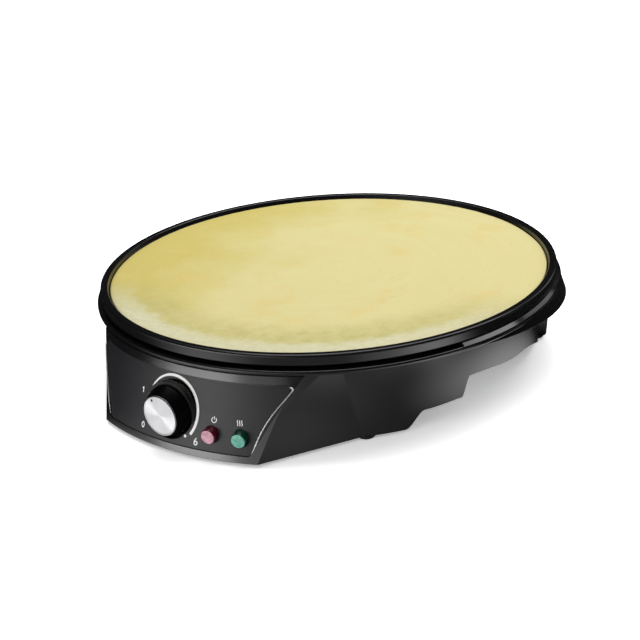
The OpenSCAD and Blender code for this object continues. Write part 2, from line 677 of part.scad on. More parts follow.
module terminal_block() color([0.93, 0.91, 0.86]) difference() {
    translate([-17, 84, cover_z + cover_t]) cube([34, 16, 12]);
    for (x = [-11, 0, 11]) {
        translate([x, 80, cover_z + cover_t + 5]) rotate([-90, 0, 0]) cylinder(h = 24, r = 2.4, $fn = 32);
        translate([x, 92, cover_z + cover_t + 8]) cylinder(h = 6, r = 2.2, $fn = 32);
    }
    for (x = [-5.5, 5.5]) translate([x - 0.7, 83, cover_z + cover_t + 7]) cube([1.4, 18, 6]);
}

module terminal_screws() color([0.8, 0.7, 0.4])
    for (x = [-11, 0, 11]) translate([x, 92, cover_z + cover_t + 8.1]) cylinder(h = 2.6, r = 2, $fn = 24);

cutoff_y = -34;
cutoff_z = 42.7;
module thermal_cutoff() color([0.85, 0.86, 0.88]) {
    rod([52, cutoff_y, cutoff_z], [70, cutoff_y, cutoff_z], 2.2);
    rod([44, cutoff_y, cutoff_z], [78, cutoff_y, cutoff_z], 0.8);
}

module cutoff_strap() color([0.75, 0.75, 0.77]) difference() {
    union() {
        translate([57, cutoff_y, cutoff_z]) rotate([0, 90, 0]) cylinder(h = 8, r = 3, $fn = 32);
        translate([57, cutoff_y - 8, pan_floor - 0.82]) cube([8, 16, 0.8]);
    }
    translate([55, cutoff_y, cutoff_z]) rotate([0, 90, 0]) cylinder(h = 12, r = 2.25, $fn = 32);
}

module earth_tag() color([0.85, 0.85, 0.85]) difference() {
    union() {
        translate([30, 60, cover_z + cover_t]) cylinder(h = 0.8, r = 5, $fn = 32);
        translate([27, 60, cover_z + cover_t]) cube([6, 14, 0.8]);
        translate([30, 60, cover_z + cover_t]) cylinder(h = 3.2, r = 3, $fn = 6);
    }
    translate([30, 71, cover_z + cover_t - 1]) cylinder(h = 4, r = 1.2, $fn = 24);
}

wire_z = cover_z + cover_t + 5;
pin_z = heater_end - 1.6;
module internal_wiring() color([0.8, 0.3, 0.2]) {
    // live: terminal block to the cut-out, and on to the heater's right leg
    wire([[11, 84, wire_z], [14, 60, wire_z], [70, 24, wire_z], [92, -10, 38], [90, cutoff_y, 41],
          [79, cutoff_y, cutoff_z]], 1.4);
    wire([[43, cutoff_y, cutoff_z], [34, -44, 39], [heater_leg_pos[0], -70, 32],
          [heater_leg_pos[0], heater_leg_pos[1] + 3, 31.2], [heater_leg_pos[0], heater_leg_pos[1] + 0.5, 31.8],
          [heater_leg_pos[0], heater_leg_pos[1], pin_z]], 1.2);
    // neutral: terminal block to the thermostat, and on to the heater's left leg
    wire([[0, 84, wire_z], [-4, 40, wire_z], [-30, -40, wire_z], [-26, -100, 36], [-24, -124, 36],
          [-9, -134, knob_z + 6.4]], 1.4);
    wire([[9, -134, knob_z + 6.4], [2, -124, 36], [-14, -104, 35],
          [-heater_leg_pos[0] + 6, heater_leg_pos[1] - 4, 31.2],
          [-heater_leg_pos[0] + 0.5, heater_leg_pos[1] - 0.3, 31.8],
          [-heater_leg_pos[0], heater_leg_pos[1], pin_z]], 1.2);
    // earth
    wire([[-11, 84, wire_z], [-8, 74, wire_z], [20, 79, wire_z - 2], [30, 74.6, cover_z + cover_t + 1.6]], 1.2);
    // lamps, in parallel with the heater
    for (i = [0, 1]) let (e = concat(polar(console_r(lamp_z) - 17, lamp_angles[i]), [lamp_z]))
        wire([e, e + [-1, 8, 4], [24 + 5 * i, -128, 30], [18 + 5 * i, -106, 35], [24 + 5 * i, -92, 36]], 1);
}

module cord_inlet_bush() color([0.08, 0.08, 0.08])
    translate([0, body_r_top - 13, 34.4]) rotate([-90, 0, 0]) difference() {
        union() {
            cylinder(h = 13.4, r = 7, $fn = 48);
            translate([0, 0, 12.4]) cylinder(h = 2.6, r1 = 10, r2 = 9, $fn = 48);
            translate([0, 0, -2]) cylinder(h = 2, r = 8.4, $fn = 48);
        }
        translate([0, 0, -5]) cylinder(h = 40, r = 3.7, $fn = 48);
    }

module cord_clamp() color([0.14, 0.14, 0.15]) difference() {
    translate([-13, 108, cover_z + cover_t]) cube([26, 8, 9]);
    translate([0, 100, 34.4]) rotate([-90, 0, 0]) cylinder(h = 30, r = 3.7, $fn = 32);
    for (x = [-9, 9]) translate([x, 112, cover_z]) cylinder(h = 12, r = 1.6, $fn = 24);
    translate([-20, 100, 34.2]) cube([40, 20, 0.4]);
}

module cord_clamp_screws() color([0.7, 0.7, 0.72])
    for (x = [-9, 9]) translate([x, 112, 0]) {
        translate([0, 0, cover_z + cover_t + 0.2]) cylinder(h = 8.9, r = 1.5, $fn = 24);
        translate([0, 0, cover_z + cover_t + 9]) cylinder(h = 1.2, r = 2.8, $fn = 24);
    }

// ---------- drawing ----------

griddle_plate();
crepe();
heating_element();
heater_bush(-1);  // heater_bush_left
heater_bush(1);  // heater_bush_right
reflector_pan();
plate_spacer(1);  // plate_spacer_1
plate_spacer(2);  // plate_spacer_2
plate_spacer(3);  // plate_spacer_3
plate_spacer(4);  // plate_spacer_4
plate_screws();
base_housing();
control_panel();
bottom_cover();
cover_screws();
console_cover();
console_cover_screws();
thermostat_bracket();
thermostat_screws();
thermostat_body();
thermostat_terminals();
thermostat_capillary();
bulb_clip();
bulb_clip_screw();
thermostat_spindle();
knob();
knob_spring();
knob_cap();
knob_pointer();
power_lens();
ready_lens();
neon(0);  // power_neon
neon(1);  // ready_neon
lens_clip(0);  // power_lens_clip
lens_clip(1);  // ready_lens_clip
terminal_block();
terminal_screws();
thermal_cutoff();
cutoff_strap();
earth_tag();
internal_wiring();
cord_inlet_bush();
cord_clamp();
cord_clamp_screws();
foot(0);  // foot_front_left
foot(1);  // foot_front_right
foot(2);  // foot_rear_left
foot(3);  // foot_rear_right
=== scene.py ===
import math

import bmesh
import bpy
from mathutils import Matrix, Vector, noise


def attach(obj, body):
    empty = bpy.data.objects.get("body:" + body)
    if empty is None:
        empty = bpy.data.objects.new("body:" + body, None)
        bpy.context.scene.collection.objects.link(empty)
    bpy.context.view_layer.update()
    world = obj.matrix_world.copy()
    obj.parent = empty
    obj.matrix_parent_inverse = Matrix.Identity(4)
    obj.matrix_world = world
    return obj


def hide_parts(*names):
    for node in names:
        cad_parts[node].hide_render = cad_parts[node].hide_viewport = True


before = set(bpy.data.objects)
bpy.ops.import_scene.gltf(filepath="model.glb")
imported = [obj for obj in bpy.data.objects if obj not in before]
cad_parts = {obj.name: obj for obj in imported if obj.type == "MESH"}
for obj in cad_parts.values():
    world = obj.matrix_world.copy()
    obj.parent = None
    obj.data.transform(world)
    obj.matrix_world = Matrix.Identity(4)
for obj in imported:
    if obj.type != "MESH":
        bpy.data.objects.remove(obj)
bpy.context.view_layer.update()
MM = 0.001
scene = bpy.context.scene
scene.view_settings.view_transform = "Standard"


# ---------------------------------------------------------------- camera
# A stills camera on a tripod, a metre from the plate's middle, looking down at the table by
# 22.6 degrees from 37.6 degrees right of the console, and rolled a little.
CAMERA_AIM = Vector((0, 0, 67 * MM))
CAMERA_AZIMUTH = math.radians(37.6)
CAMERA_DOWN = math.radians(22.6)
CAMERA_ROLL = math.radians(4.1)
CAMERA_DISTANCE = 989.4 * MM
FRAME_PX = 640
FOCAL_PX = 1400
AIM_PX = (327.3, 262.1)
SENSOR_MM = 36


def new_object(name, data):
    """An object of this data, linked to the scene."""
    thing = bpy.data.objects.new(name, data)
    scene.collection.objects.link(thing)
    return thing


back = Vector((math.sin(CAMERA_AZIMUTH) * math.cos(CAMERA_DOWN),
               -math.cos(CAMERA_AZIMUTH) * math.cos(CAMERA_DOWN), math.sin(CAMERA_DOWN)))
level = Vector((math.cos(CAMERA_AZIMUTH), math.sin(CAMERA_AZIMUTH), 0))
upright = back.cross(level)
right = level * math.cos(CAMERA_ROLL) - upright * math.sin(CAMERA_ROLL)
up = level * math.sin(CAMERA_ROLL) + upright * math.cos(CAMERA_ROLL)
px_size = CAMERA_DISTANCE / FOCAL_PX
spot = (CAMERA_AIM + back * CAMERA_DISTANCE - right * (AIM_PX[0] - FRAME_PX / 2) * px_size
        + up * (AIM_PX[1] - FRAME_PX / 2) * px_size)
camera_data = bpy.data.cameras.new("still_camera")
camera_data.sensor_width = SENSOR_MM
camera_data.lens = SENSOR_MM * FOCAL_PX / FRAME_PX
camera = new_object("still_camera", camera_data)
camera.matrix_world = Matrix((
    (right.x, up.x, back.x, spot.x), (right.y, up.y, back.y, spot.y),
    (right.z, up.z, back.z, spot.z), (0, 0, 0, 1)))
scene.camera = camera


# ---------------------------------------------------------------- white room
# A plain room with even light. The camera, reflections and clear lenses see it as pure white,
# and the object takes about half of that as soft light from all sides.
ROOM_LIGHT = 0.55


def linear(code):
    """sRGB hex to linear colour."""
    parts = [int(code[i:i + 2], 16) / 255 for i in (0, 2, 4)]
    return tuple(c / 12.92 if c <= 0.04045 else ((c + 0.055) / 1.055) ** 2.4 for c in parts) + (1,)


def add(tree, kind, links=None, **settings):
    """Adds a node with its settings; links fills its sockets from nodes, sockets or values."""
    node = tree.nodes.new(kind)
    for key, value in settings.items():
        setattr(node, key, value)
    for key, value in (links or {}).items():
        if isinstance(value, bpy.types.Node):
            value = next(socket for socket in value.outputs if socket.enabled)
        if isinstance(value, bpy.types.NodeSocket):
            tree.links.new(value, node.inputs[key])
        else:
            node.inputs[key].default_value = value
    return node


world = bpy.data.worlds.new("white_room")
scene.world = world
world.use_nodes = True
sky = world.node_tree
sky.nodes.clear()
ray = add(sky, "ShaderNodeLightPath")
clear = add(sky, "ShaderNodeMath", {
    0: ray.outputs["Is Camera Ray"], 1: ray.outputs["Is Transmission Ray"]}, operation="MAXIMUM")
clear = add(sky, "ShaderNodeMath", {0: clear, 1: ray.outputs["Is Glossy Ray"]},
            operation="MAXIMUM")
strength = add(sky, "ShaderNodeMapRange", {"Value": clear, "To Min": ROOM_LIGHT, "To Max": 1.0})
room = add(sky, "ShaderNodeBackground", {"Color": linear("FFFFFF"), "Strength": strength})
add(sky, "ShaderNodeOutputWorld", {"Surface": room})


# ---------------------------------------------------------------- paper floor
# White paper on the table. The camera sees it overexposed, so that only the shadow shows, and
# further off it goes over into the white room. Reflections see pools of light on it instead.
FLOOR_HALF = 3.0
PAPER_LIT, PAPER_GLOW = 1.4, 0.27
FAR_FROM, FAR_TO, FAR_GLOW = 0.5, 1.2, 1.1      # metres from the middle, and the strength there
POOL_BASE = 0.015                               # the paper in reflections, between the pools
# azimuth and half width in degrees, distance and half depth in mm, strength
POOLS = (
    (0, 37, 180, 58, 2.9), (-17, 19, 300, 110, 4.0), (-34, 18, 300, 110, 1.4),
    (-58, 70, 250, 420, 0.35), (-56, 22, 200, 70, 0.35), (26, 14, 440, 90, 1.2),
    (-98, 24, 235, 130, 1.9), (-104, 48, 620, 420, 4.0), (124, 54, 300, 230, 1.3))


def new_material(name):
    """An empty node material and its tree."""
    material = bpy.data.materials.new(name)
    material.use_nodes = True
    material.node_tree.nodes.clear()
    return material, material.node_tree


paper, tree = new_material("white_paper")
place = add(tree, "ShaderNodeTexCoord").outputs["Object"]
away = add(tree, "ShaderNodeVectorMath", {0: place}, operation="LENGTH")
far = add(tree, "ShaderNodeMapRange", {
    "Value": away, "From Min": FAR_FROM, "From Max": FAR_TO,
    "To Min": PAPER_GLOW, "To Max": FAR_GLOW})
glow = add(tree, "ShaderNodeEmission", {"Color": linear("FFFFFF"), "Strength": far})
lit = add(tree, "ShaderNodeBsdfDiffuse", {"Color": (PAPER_LIT, PAPER_LIT, PAPER_LIT, 1)})
overexposed = add(tree, "ShaderNodeAddShader", {0: lit, 1: glow})

axes = add(tree, "ShaderNodeSeparateXYZ", {0: place})
turn = add(tree, "ShaderNodeMath", {0: axes.outputs["Y"], 1: axes.outputs["X"]},
           operation="ARCTAN2")
polar = add(tree, "ShaderNodeCombineXYZ", {"X": turn, "Y": away})
light = POOL_BASE
for azimuth, spread, distance, depth, power in POOLS:
    middle = (math.radians(azimuth), distance * MM, 0)
    size = (1 / math.radians(spread), 1 / (depth * MM), 0)
    off = add(tree, "ShaderNodeVectorMath", {0: polar, 1: middle}, operation="SUBTRACT")
    off = add(tree, "ShaderNodeVectorMath", {0: off, 1: size}, operation="MULTIPLY")
    off = add(tree, "ShaderNodeVectorMath", {0: off}, operation="LENGTH")
    pool = add(tree, "ShaderNodeMapRange", {
        "Value": off, "From Min": 1.0, "From Max": 0.0, "To Max": power},
        interpolation_type="SMOOTHSTEP")
    light = add(tree, "ShaderNodeMath", {0: pool, 1: light}, operation="ADD")
pools = add(tree, "ShaderNodeEmission", {"Color": linear("FFFFFF"), "Strength": light})

plain = add(tree, "ShaderNodeBsdfDiffuse", {"Color": linear("F4F4F4")})
ray = add(tree, "ShaderNodeLightPath")
mirrored = add(tree, "ShaderNodeMixShader", {0: ray.outputs["Is Glossy Ray"], 1: plain, 2: pools})
seen = add(tree, "ShaderNodeMixShader", {
    0: ray.outputs["Is Camera Ray"], 1: mirrored, 2: overexposed})
add(tree, "ShaderNodeOutputMaterial", {"Surface": seen})

floor_mesh = bpy.data.meshes.new("paper_floor")
floor_mesh.from_pydata([(-FLOOR_HALF, -FLOOR_HALF, 0), (FLOOR_HALF, -FLOOR_HALF, 0),
                        (FLOOR_HALF, FLOOR_HALF, 0), (-FLOOR_HALF, FLOOR_HALF, 0)], [],
                       [(0, 1, 2, 3)])
floor_mesh.materials.append(paper)
floor = new_object("paper_floor", floor_mesh)


# ---------------------------------------------------------------- black drapes
# Black velvet on a round rail. Only reflections see it: it keeps the glossy housing dark where
# it mirrors no lamp and no pool of light.
DRAPE_R, DRAPE_H, DRAPE_FOLDS = 2.6, 5.0, 48

velvet, tree = new_material("black_velvet")
cloth = add(tree, "ShaderNodeBsdfDiffuse", {"Color": linear("181818")})
add(tree, "ShaderNodeOutputMaterial", {"Surface": cloth})
corners, widths = [], []
for k in range(DRAPE_FOLDS):
    a = 2 * math.pi * k / DRAPE_FOLDS
    corners += [(DRAPE_R * math.cos(a), DRAPE_R * math.sin(a), z) for z in (0, DRAPE_H)]
    this, following = 2 * k, 2 * ((k + 1) % DRAPE_FOLDS)
    widths.append((this, this + 1, following + 1, following))
drape_mesh = bpy.data.meshes.new("black_drapes")
drape_mesh.from_pydata(corners, [], widths)
drape_mesh.materials.append(velvet)
drapes = new_object("black_drapes", drape_mesh)
drapes.visible_camera = False
drapes.visible_diffuse = False
drapes.visible_transmission = False
drapes.visible_shadow = False


# ---------------------------------------------------------------- studio lamps
# A large softbox hangs behind the object on the left, and a small one and a weak strip stand
# behind it on the right. A strip, with a dim card round it, stands low before the console.

# name, azimuth, height and tilt in degrees, distance, width and height in metres, watts
LAMPS = (
    ("softbox_top", 122, 68, 0, 1.7, 1.3, 1.3, 15),
    ("softbox_rear", 58, 52, 0, 1.7, 0.7, 0.7, 5.8),
    ("strip_rear", 74, 22, 14, 1.7, 0.4, 0.95, 1.3),
    ("strip_front_left", -112.5, 3, 14, 1.7, 1.02, 0.42, 9.4),
    ("card_front_left", -107, 3, 10, 1.8, 2.3, 0.60, 8.5))

for name, azimuth, height, tilt, distance, wide, high, watts in LAMPS:
    lamp_data = bpy.data.lights.new(name, "AREA")
    lamp_data.shape = "RECTANGLE"
    lamp_data.size = wide
    lamp_data.size_y = high
    lamp_data.energy = watts
    lamp = new_object(name, lamp_data)
    a, e = math.radians(azimuth), math.radians(height)
    towards = Vector((math.cos(a) * math.cos(e), math.sin(a) * math.cos(e), math.sin(e)))
    lamp.location = towards * distance
    lamp.rotation_euler = (towards.to_track_quat("Z", "Y").to_matrix()
                           @ Matrix.Rotation(math.radians(tilt), 3, "Z")).to_euler()


# ---------------------------------------------------------------- base housing
# One injection moulding in black glass-filled PBT: top ring, side grips, skirt, legs and
# console. The mould is honed, so the skin is glossy with a faint orange peel, and each edge
# has a small radius that catches the light. Hands keep the grips brighter than the rest.
PEEL_MM = 2.6                           # spacing of the orange peel
GRAIN_MM = 0.8                          # mould grain, twice as coarse as real so that it shows
FLOW_MM = 70                            # clouds that the melt leaves as it flows
EDGE_R = 0.3 * MM
GRIP_FROM, GRIP_TO = 151 * MM, 154 * MM         # distance from the middle plane, sideways

housing_plastic, tree = new_material("honed_black_pbt")
place = add(tree, "ShaderNodeTexCoord").outputs["Object"]
peel = add(tree, "ShaderNodeTexNoise", {
    "Vector": place, "Scale": 1 / (PEEL_MM * MM), "Detail": 1.0})
grain = add(tree, "ShaderNodeTexNoise", {
    "Vector": place, "Scale": 1 / (GRAIN_MM * MM), "Detail": 2.0})
flow = add(tree, "ShaderNodeTexNoise", {
    "Vector": place, "Scale": 1 / (FLOW_MM * MM), "Detail": 3.0})
tone = add(tree, "ShaderNodeMix", {"Factor": flow, "A": linear("0A0A0B"), "B": linear("111113")},
           data_type="RGBA")
gloss = add(tree, "ShaderNodeMapRange", {
    "Value": flow, "From Min": 0.3, "From Max": 0.7, "To Min": 0.2, "To Max": 0.25})
axes = add(tree, "ShaderNodeSeparateXYZ", {0: place})
sideways = add(tree, "ShaderNodeMath", {0: axes.outputs["X"]}, operation="ABSOLUTE")
rubbed = add(tree, "ShaderNodeMapRange", {
    "Value": sideways, "From Min": GRIP_FROM, "From Max": GRIP_TO, "To Min": 1.0, "To Max": 0.5})
gloss = add(tree, "ShaderNodeMath", {0: gloss, 1: rubbed}, operation="MULTIPLY")
edge = add(tree, "ShaderNodeBevel", {"Radius": EDGE_R}, samples=8)
waves = add(tree, "ShaderNodeBump", {
    "Height": peel, "Strength": 0.12, "Distance": 0.02 * MM, "Normal": edge})
fine = add(tree, "ShaderNodeBump", {
    "Height": grain, "Strength": 0.05, "Distance": 0.006 * MM, "Normal": waves})
shade = add(tree, "ShaderNodeBsdfPrincipled", {
    "Base Color": tone, "Roughness": gloss, "Normal": fine, "IOR": 1.5})
add(tree, "ShaderNodeOutputMaterial", {"Surface": shade})


def dress(material, *nodes):
    """Gives CAD nodes their finish."""
    for node in nodes:
        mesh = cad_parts[node].data
        mesh.materials.clear()
        mesh.materials.append(material)


dress(housing_plastic, "base_housing")


# ---------------------------------------------------------------- covers and feet
# The bottom cover is a zinc-plated steel blank, grey with a cloudy sheen. The console's cover
# and the cord clamp are black polypropylene with a coarse matt grain, and the feet and the
# inlet bush are dull moulded rubber.
FILM_MM = 14                            # clouds in the plating or the film of oxide
TONE_MM = 9                             # uneven tone of a matt moulding


def bare_metal(name, dull, bright, grain_mm, roughness, relief_mm):
    """Bare or plated metal as it leaves the press or lathe: a cloudy film over a fine grain."""
    material, tree = new_material(name)
    place = add(tree, "ShaderNodeTexCoord").outputs["Object"]
    cloud = add(tree, "ShaderNodeTexNoise", {
        "Vector": place, "Scale": 1 / (FILM_MM * MM), "Detail": 4.0})
    grain = add(tree, "ShaderNodeTexNoise", {
        "Vector": place, "Scale": 1 / (grain_mm * MM), "Detail": 3.0})
    tone = add(tree, "ShaderNodeMix", {"Factor": cloud, "A": linear(dull), "B": linear(bright)},
               data_type="RGBA")
    gloss = add(tree, "ShaderNodeMapRange", {
        "Value": grain, "From Min": 0.3, "From Max": 0.7,
        "To Min": roughness - 0.08, "To Max": roughness + 0.08})
    relief = add(tree, "ShaderNodeBump", {
        "Height": grain, "Strength": 0.3, "Distance": relief_mm * MM})
    shade = add(tree, "ShaderNodeBsdfPrincipled", {
        "Base Color": tone, "Metallic": 1.0, "Roughness": gloss, "Normal": relief})
    add(tree, "ShaderNodeOutputMaterial", {"Surface": shade})
    return material


def matt_moulding(name, dark, light, grain_mm, roughness, relief_mm, ior):
    """Plastic, rubber or ceramic with an even grain and a slightly uneven tone."""
    material, tree = new_material(name)
    place = add(tree, "ShaderNodeTexCoord").outputs["Object"]
    cloud = add(tree, "ShaderNodeTexNoise", {
        "Vector": place, "Scale": 1 / (TONE_MM * MM), "Detail": 3.0})
    grain = add(tree, "ShaderNodeTexVoronoi", {"Vector": place, "Scale": 1 / (grain_mm * MM)})
    tone = add(tree, "ShaderNodeMix", {"Factor": cloud, "A": linear(dark), "B": linear(light)},
               data_type="RGBA")
    gloss = add(tree, "ShaderNodeMapRange", {
        "Value": cloud, "To Min": roughness - 0.07, "To Max": roughness + 0.07})
    relief = add(tree, "ShaderNodeBump", {
        "Height": grain, "Strength": 0.4, "Distance": relief_mm * MM})
    shade = add(tree, "ShaderNodeBsdfPrincipled", {
        "Base Color": tone, "Roughness": gloss, "Normal": relief, "IOR": ior})
    add(tree, "ShaderNodeOutputMaterial", {"Surface": shade})
    return material


zinc_sheet = bare_metal("zinc_plated_sheet", "8E9194", "B4B7BA", 1.2, 0.38, 0.02)
zinc_screw = bare_metal("zinc_plated_screw", "9DA0A3", "C3C6C8", 0.5, 0.30, 0.01)
cover_plastic = matt_moulding("grained_polypropylene", "141415", "1C1C1E", 0.7, 0.58, 0.03, 1.49)
rubber = matt_moulding("black_rubber", "0F0F0F", "181817", 0.9, 0.82, 0.03, 1.52)
dress(zinc_sheet, "bottom_cover")
dress(zinc_screw, "cover_screws", "console_cover_screws", "plate_screws", "bulb_clip_screw",
      "cord_clamp_screws", "thermostat_screws", "earth_tag")
dress(cover_plastic, "console_cover", "cord_clamp")
dress(rubber, "foot_front_left", "foot_front_right", "foot_rear_left", "foot_rear_right",
      "cord_inlet_bush")


# ---------------------------------------------------------------- reflector pan and its ceramics
# Pan pressed from hot-dip aluminised steel, whose zinc-like spangle shows as pale flakes.
# Spacers, heater bushes and the terminal block are unglazed steatite, matt and cream white.
SPANGLE_MM = 7
PRESSED_MM = 1.1                        # grain that the press leaves

aluminised, tree = new_material("aluminised_steel")
place = add(tree, "ShaderNodeTexCoord").outputs["Object"]
flake = add(tree, "ShaderNodeTexVoronoi", {"Vector": place, "Scale": 1 / (SPANGLE_MM * MM)})
grain = add(tree, "ShaderNodeTexNoise", {
    "Vector": place, "Scale": 1 / (PRESSED_MM * MM), "Detail": 2.0})
tone = add(tree, "ShaderNodeMix", {
    "Factor": flake.outputs["Color"], "A": linear("A9ACAF"), "B": linear("C8CACC")},
    data_type="RGBA")
gloss = add(tree, "ShaderNodeMapRange", {"Value": flake, "To Min": 0.3, "To Max": 0.45})
relief = add(tree, "ShaderNodeBump", {"Height": grain, "Strength": 0.25, "Distance": 0.02 * MM})
shade = add(tree, "ShaderNodeBsdfPrincipled", {
    "Base Color": tone, "Metallic": 1.0, "Roughness": gloss, "Normal": relief})
add(tree, "ShaderNodeOutputMaterial", {"Surface": shade})
steatite = matt_moulding("unglazed_steatite", "D8D2C2", "E6E1D4", 0.6, 0.72, 0.02, 1.56)
dress(aluminised, "reflector_pan")
dress(steatite, "plate_spacer_1", "plate_spacer_2", "plate_spacer_3", "plate_spacer_4",
      "heater_bush_left", "heater_bush_right", "terminal_block")


# ---------------------------------------------------------------- heating element
# Stainless tube filled with magnesia, bent to a ring and pressed into the plate's rib. Heat
# has tinted it straw to blue-grey in soft bands.
TINT_MM = 24
DRAWN_MM = 0.8                          # grain of the drawn tube, coarser than real so it shows

tinted_tube, tree = new_material("heat_tinted_stainless")
place = add(tree, "ShaderNodeTexCoord").outputs["Object"]
band = add(tree, "ShaderNodeTexNoise", {
    "Vector": place, "Scale": 1 / (TINT_MM * MM), "Detail": 2.0})
tint = add(tree, "ShaderNodeValToRGB", {"Fac": band})
tint.color_ramp.elements[0].color = linear("6E6258")
tint.color_ramp.elements[0].position = 0.3
tint.color_ramp.elements[1].color = linear("8A7660")
tint.color_ramp.elements[1].position = 0.7
tint.color_ramp.elements.new(0.5).color = linear("5E5C66")
drawn = add(tree, "ShaderNodeTexNoise", {
    "Vector": place, "Scale": 1 / (DRAWN_MM * MM), "Detail": 2.0})
relief = add(tree, "ShaderNodeBump", {"Height": drawn, "Strength": 0.3, "Distance": 0.02 * MM})
shade = add(tree, "ShaderNodeBsdfPrincipled", {
    "Base Color": tint, "Metallic": 1.0, "Roughness": 0.42, "Normal": relief})
add(tree, "ShaderNodeOutputMaterial", {"Surface": shade})
dress(tinted_tube, "heating_element")


# ---------------------------------------------------------------- griddle plate
# Gravity-cast aluminium, blasted and sprayed with a black PTFE coating: deep black, faintly
# pebbled, with a soft light line along the rounded edges of its rim.
PEBBLE_MM = 0.8                         # pebble of the sprayed coat, coarser than real so it shows
SPRAY_MM = 45                           # passes of the spray gun
RIM_EDGE_R = 0.8 * MM

coated_cast, tree = new_material("black_ptfe_on_cast_aluminium")
place = add(tree, "ShaderNodeTexCoord").outputs["Object"]
pebble = add(tree, "ShaderNodeTexNoise", {
    "Vector": place, "Scale": 1 / (PEBBLE_MM * MM), "Detail": 3.0})
spray = add(tree, "ShaderNodeTexNoise", {
    "Vector": place, "Scale": 1 / (SPRAY_MM * MM), "Detail": 2.0})
tone = add(tree, "ShaderNodeMix", {
    "Factor": spray, "A": linear("0B0B0C"), "B": linear("131315")}, data_type="RGBA")
gloss = add(tree, "ShaderNodeMapRange", {"Value": pebble, "To Min": 0.17, "To Max": 0.23})
edge = add(tree, "ShaderNodeBevel", {"Radius": RIM_EDGE_R}, samples=8)
relief = add(tree, "ShaderNodeBump", {
    "Height": pebble, "Strength": 0.3, "Distance": 0.02 * MM, "Normal": edge})
shade = add(tree, "ShaderNodeBsdfPrincipled", {
    "Base Color": tone, "Roughness": gloss, "Normal": relief, "IOR": 1.45})
add(tree, "ShaderNodeOutputMaterial", {"Surface": shade})
dress(coated_cast, "griddle_plate")


# ---------------------------------------------------------------- crepe
# A thin batter cake that fills the plate inside its rim: dry, matt and pale yellow, ochre
# where it cooked first, olive and then paler along its lacy edge where it cooked last. It only
# lies on the plate.
CREPE_R = 153.2 * MM
CREPE_UNDER = 63.3 * MM
CREPE_TOP = 64.35 * MM
CREPE_RINGS, CREPE_SPOKES = 80, 224
RING_CROWDING = 1.25                            # the rings crowd together towards the edge
EDGE_TAPER = 5 * MM
EDGE_BODY = 0.42                                # share of the thickness that the edge keeps
EDGE_WANDER, EDGE_NIBBLE = 0.25, 0.16           # mm that the edge strays, slowly and quickly
WANDER_LOBES, NIBBLE_LOBES = 2.6, 16
SWELL_MM, SWELL_HIGH = 55, 0.13                 # spacing and height of the top's waves
RIPPLE_MM, RIPPLE_HIGH = 11, 0.05
HOT_SIDE, COOL_SIDE = (-0.96, -0.15, 0), (0.34, -0.94, 0)
HOT_FROM, HOT_TO = -20 * MM, 150 * MM           # browner and browner between these, to the hot side
OLIVE_FROM, OLIVE_TO = 100 * MM, 130 * MM       # distance from the middle, for the olive zone
PALE_FROM, PALE_TO = 131 * MM, 142 * MM         # and for the pale edge
OLIVE_SIDE = (36 * MM, 84 * MM)                 # how far to the cool side the zone sets in
PALE_SIDE = (48 * MM, 104 * MM)
PATCH_MM, BLUSH_MM = 75, 38                     # spacing of browned patches and of blushes
LACE_MM, LACE_REACH = 12, 11 * MM               # fraying of the edge's zones
MOTTLE_MM, BLOTCH_MM = 9, 4
SWEEP_MM, SWEEP_LONG = 7, 1.7                   # pitch of the spreader's marks, and their turns
PORE_MM, CRUMB_MM = 4.5, 2.2


def crepe_surface(angle, share):
    """A point of the crepe's top, at a share of its own radius in that direction."""
    c, s = math.cos(angle), math.sin(angle)
    outline = noise.noise(Vector((WANDER_LOBES * c, WANDER_LOBES * s, 3.1)))
    nibble = noise.noise(Vector((NIBBLE_LOBES * c, NIBBLE_LOBES * s, 7.7)))
    reach = CREPE_R + (EDGE_WANDER * outline + EDGE_NIBBLE * nibble) * MM
    r = reach * share
    x, y = r * c, r * s
    swell = noise.noise(Vector((x / (SWELL_MM * MM), y / (SWELL_MM * MM), 0.5)))
    ripple = noise.noise(Vector((x / (RIPPLE_MM * MM), y / (RIPPLE_MM * MM), 4.2)))
    t = min(1.0, (reach - r) / EDGE_TAPER)
    body = EDGE_BODY + (1 - EDGE_BODY) * math.sqrt(1 - (1 - t) ** 2)
    waves = (SWELL_HIGH * swell + RIPPLE_HIGH * ripple) * MM
    return (x, y, CREPE_UNDER + (CREPE_TOP - CREPE_UNDER) * body + waves * body)


def mesh_object(name, shape, material):
    """Turns a bmesh into a linked object of this material."""
    mesh = bpy.data.meshes.new(name)
    shape.to_mesh(mesh)
    shape.free()
    mesh.materials.append(material)
    return new_object(name, mesh)


shape = bmesh.new()
spokes = [2 * math.pi * k / CREPE_SPOKES for k in range(CREPE_SPOKES)]
shares = [1 - (1 - j / CREPE_RINGS) ** RING_CROWDING for j in range(1, CREPE_RINGS + 1)]
middle = shape.verts.new(crepe_surface(0, 0))
rings = [[shape.verts.new(crepe_surface(a, share)) for a in spokes] for share in shares]
rings.append([shape.verts.new((v.co.x * 0.999, v.co.y * 0.999, CREPE_UNDER)) for v in rings[-1]])
under = shape.verts.new((0, 0, CREPE_UNDER))
for k in range(CREPE_SPOKES):
    following = (k + 1) % CREPE_SPOKES
    shape.faces.new((middle, rings[0][k], rings[0][following]))
    shape.faces.new((under, rings[-1][following], rings[-1][k]))
    for inner, outer in zip(rings, rings[1:]):
        shape.faces.new((inner[k], outer[k], outer[following], inner[following]))
for face in shape.faces:
    face.smooth = True

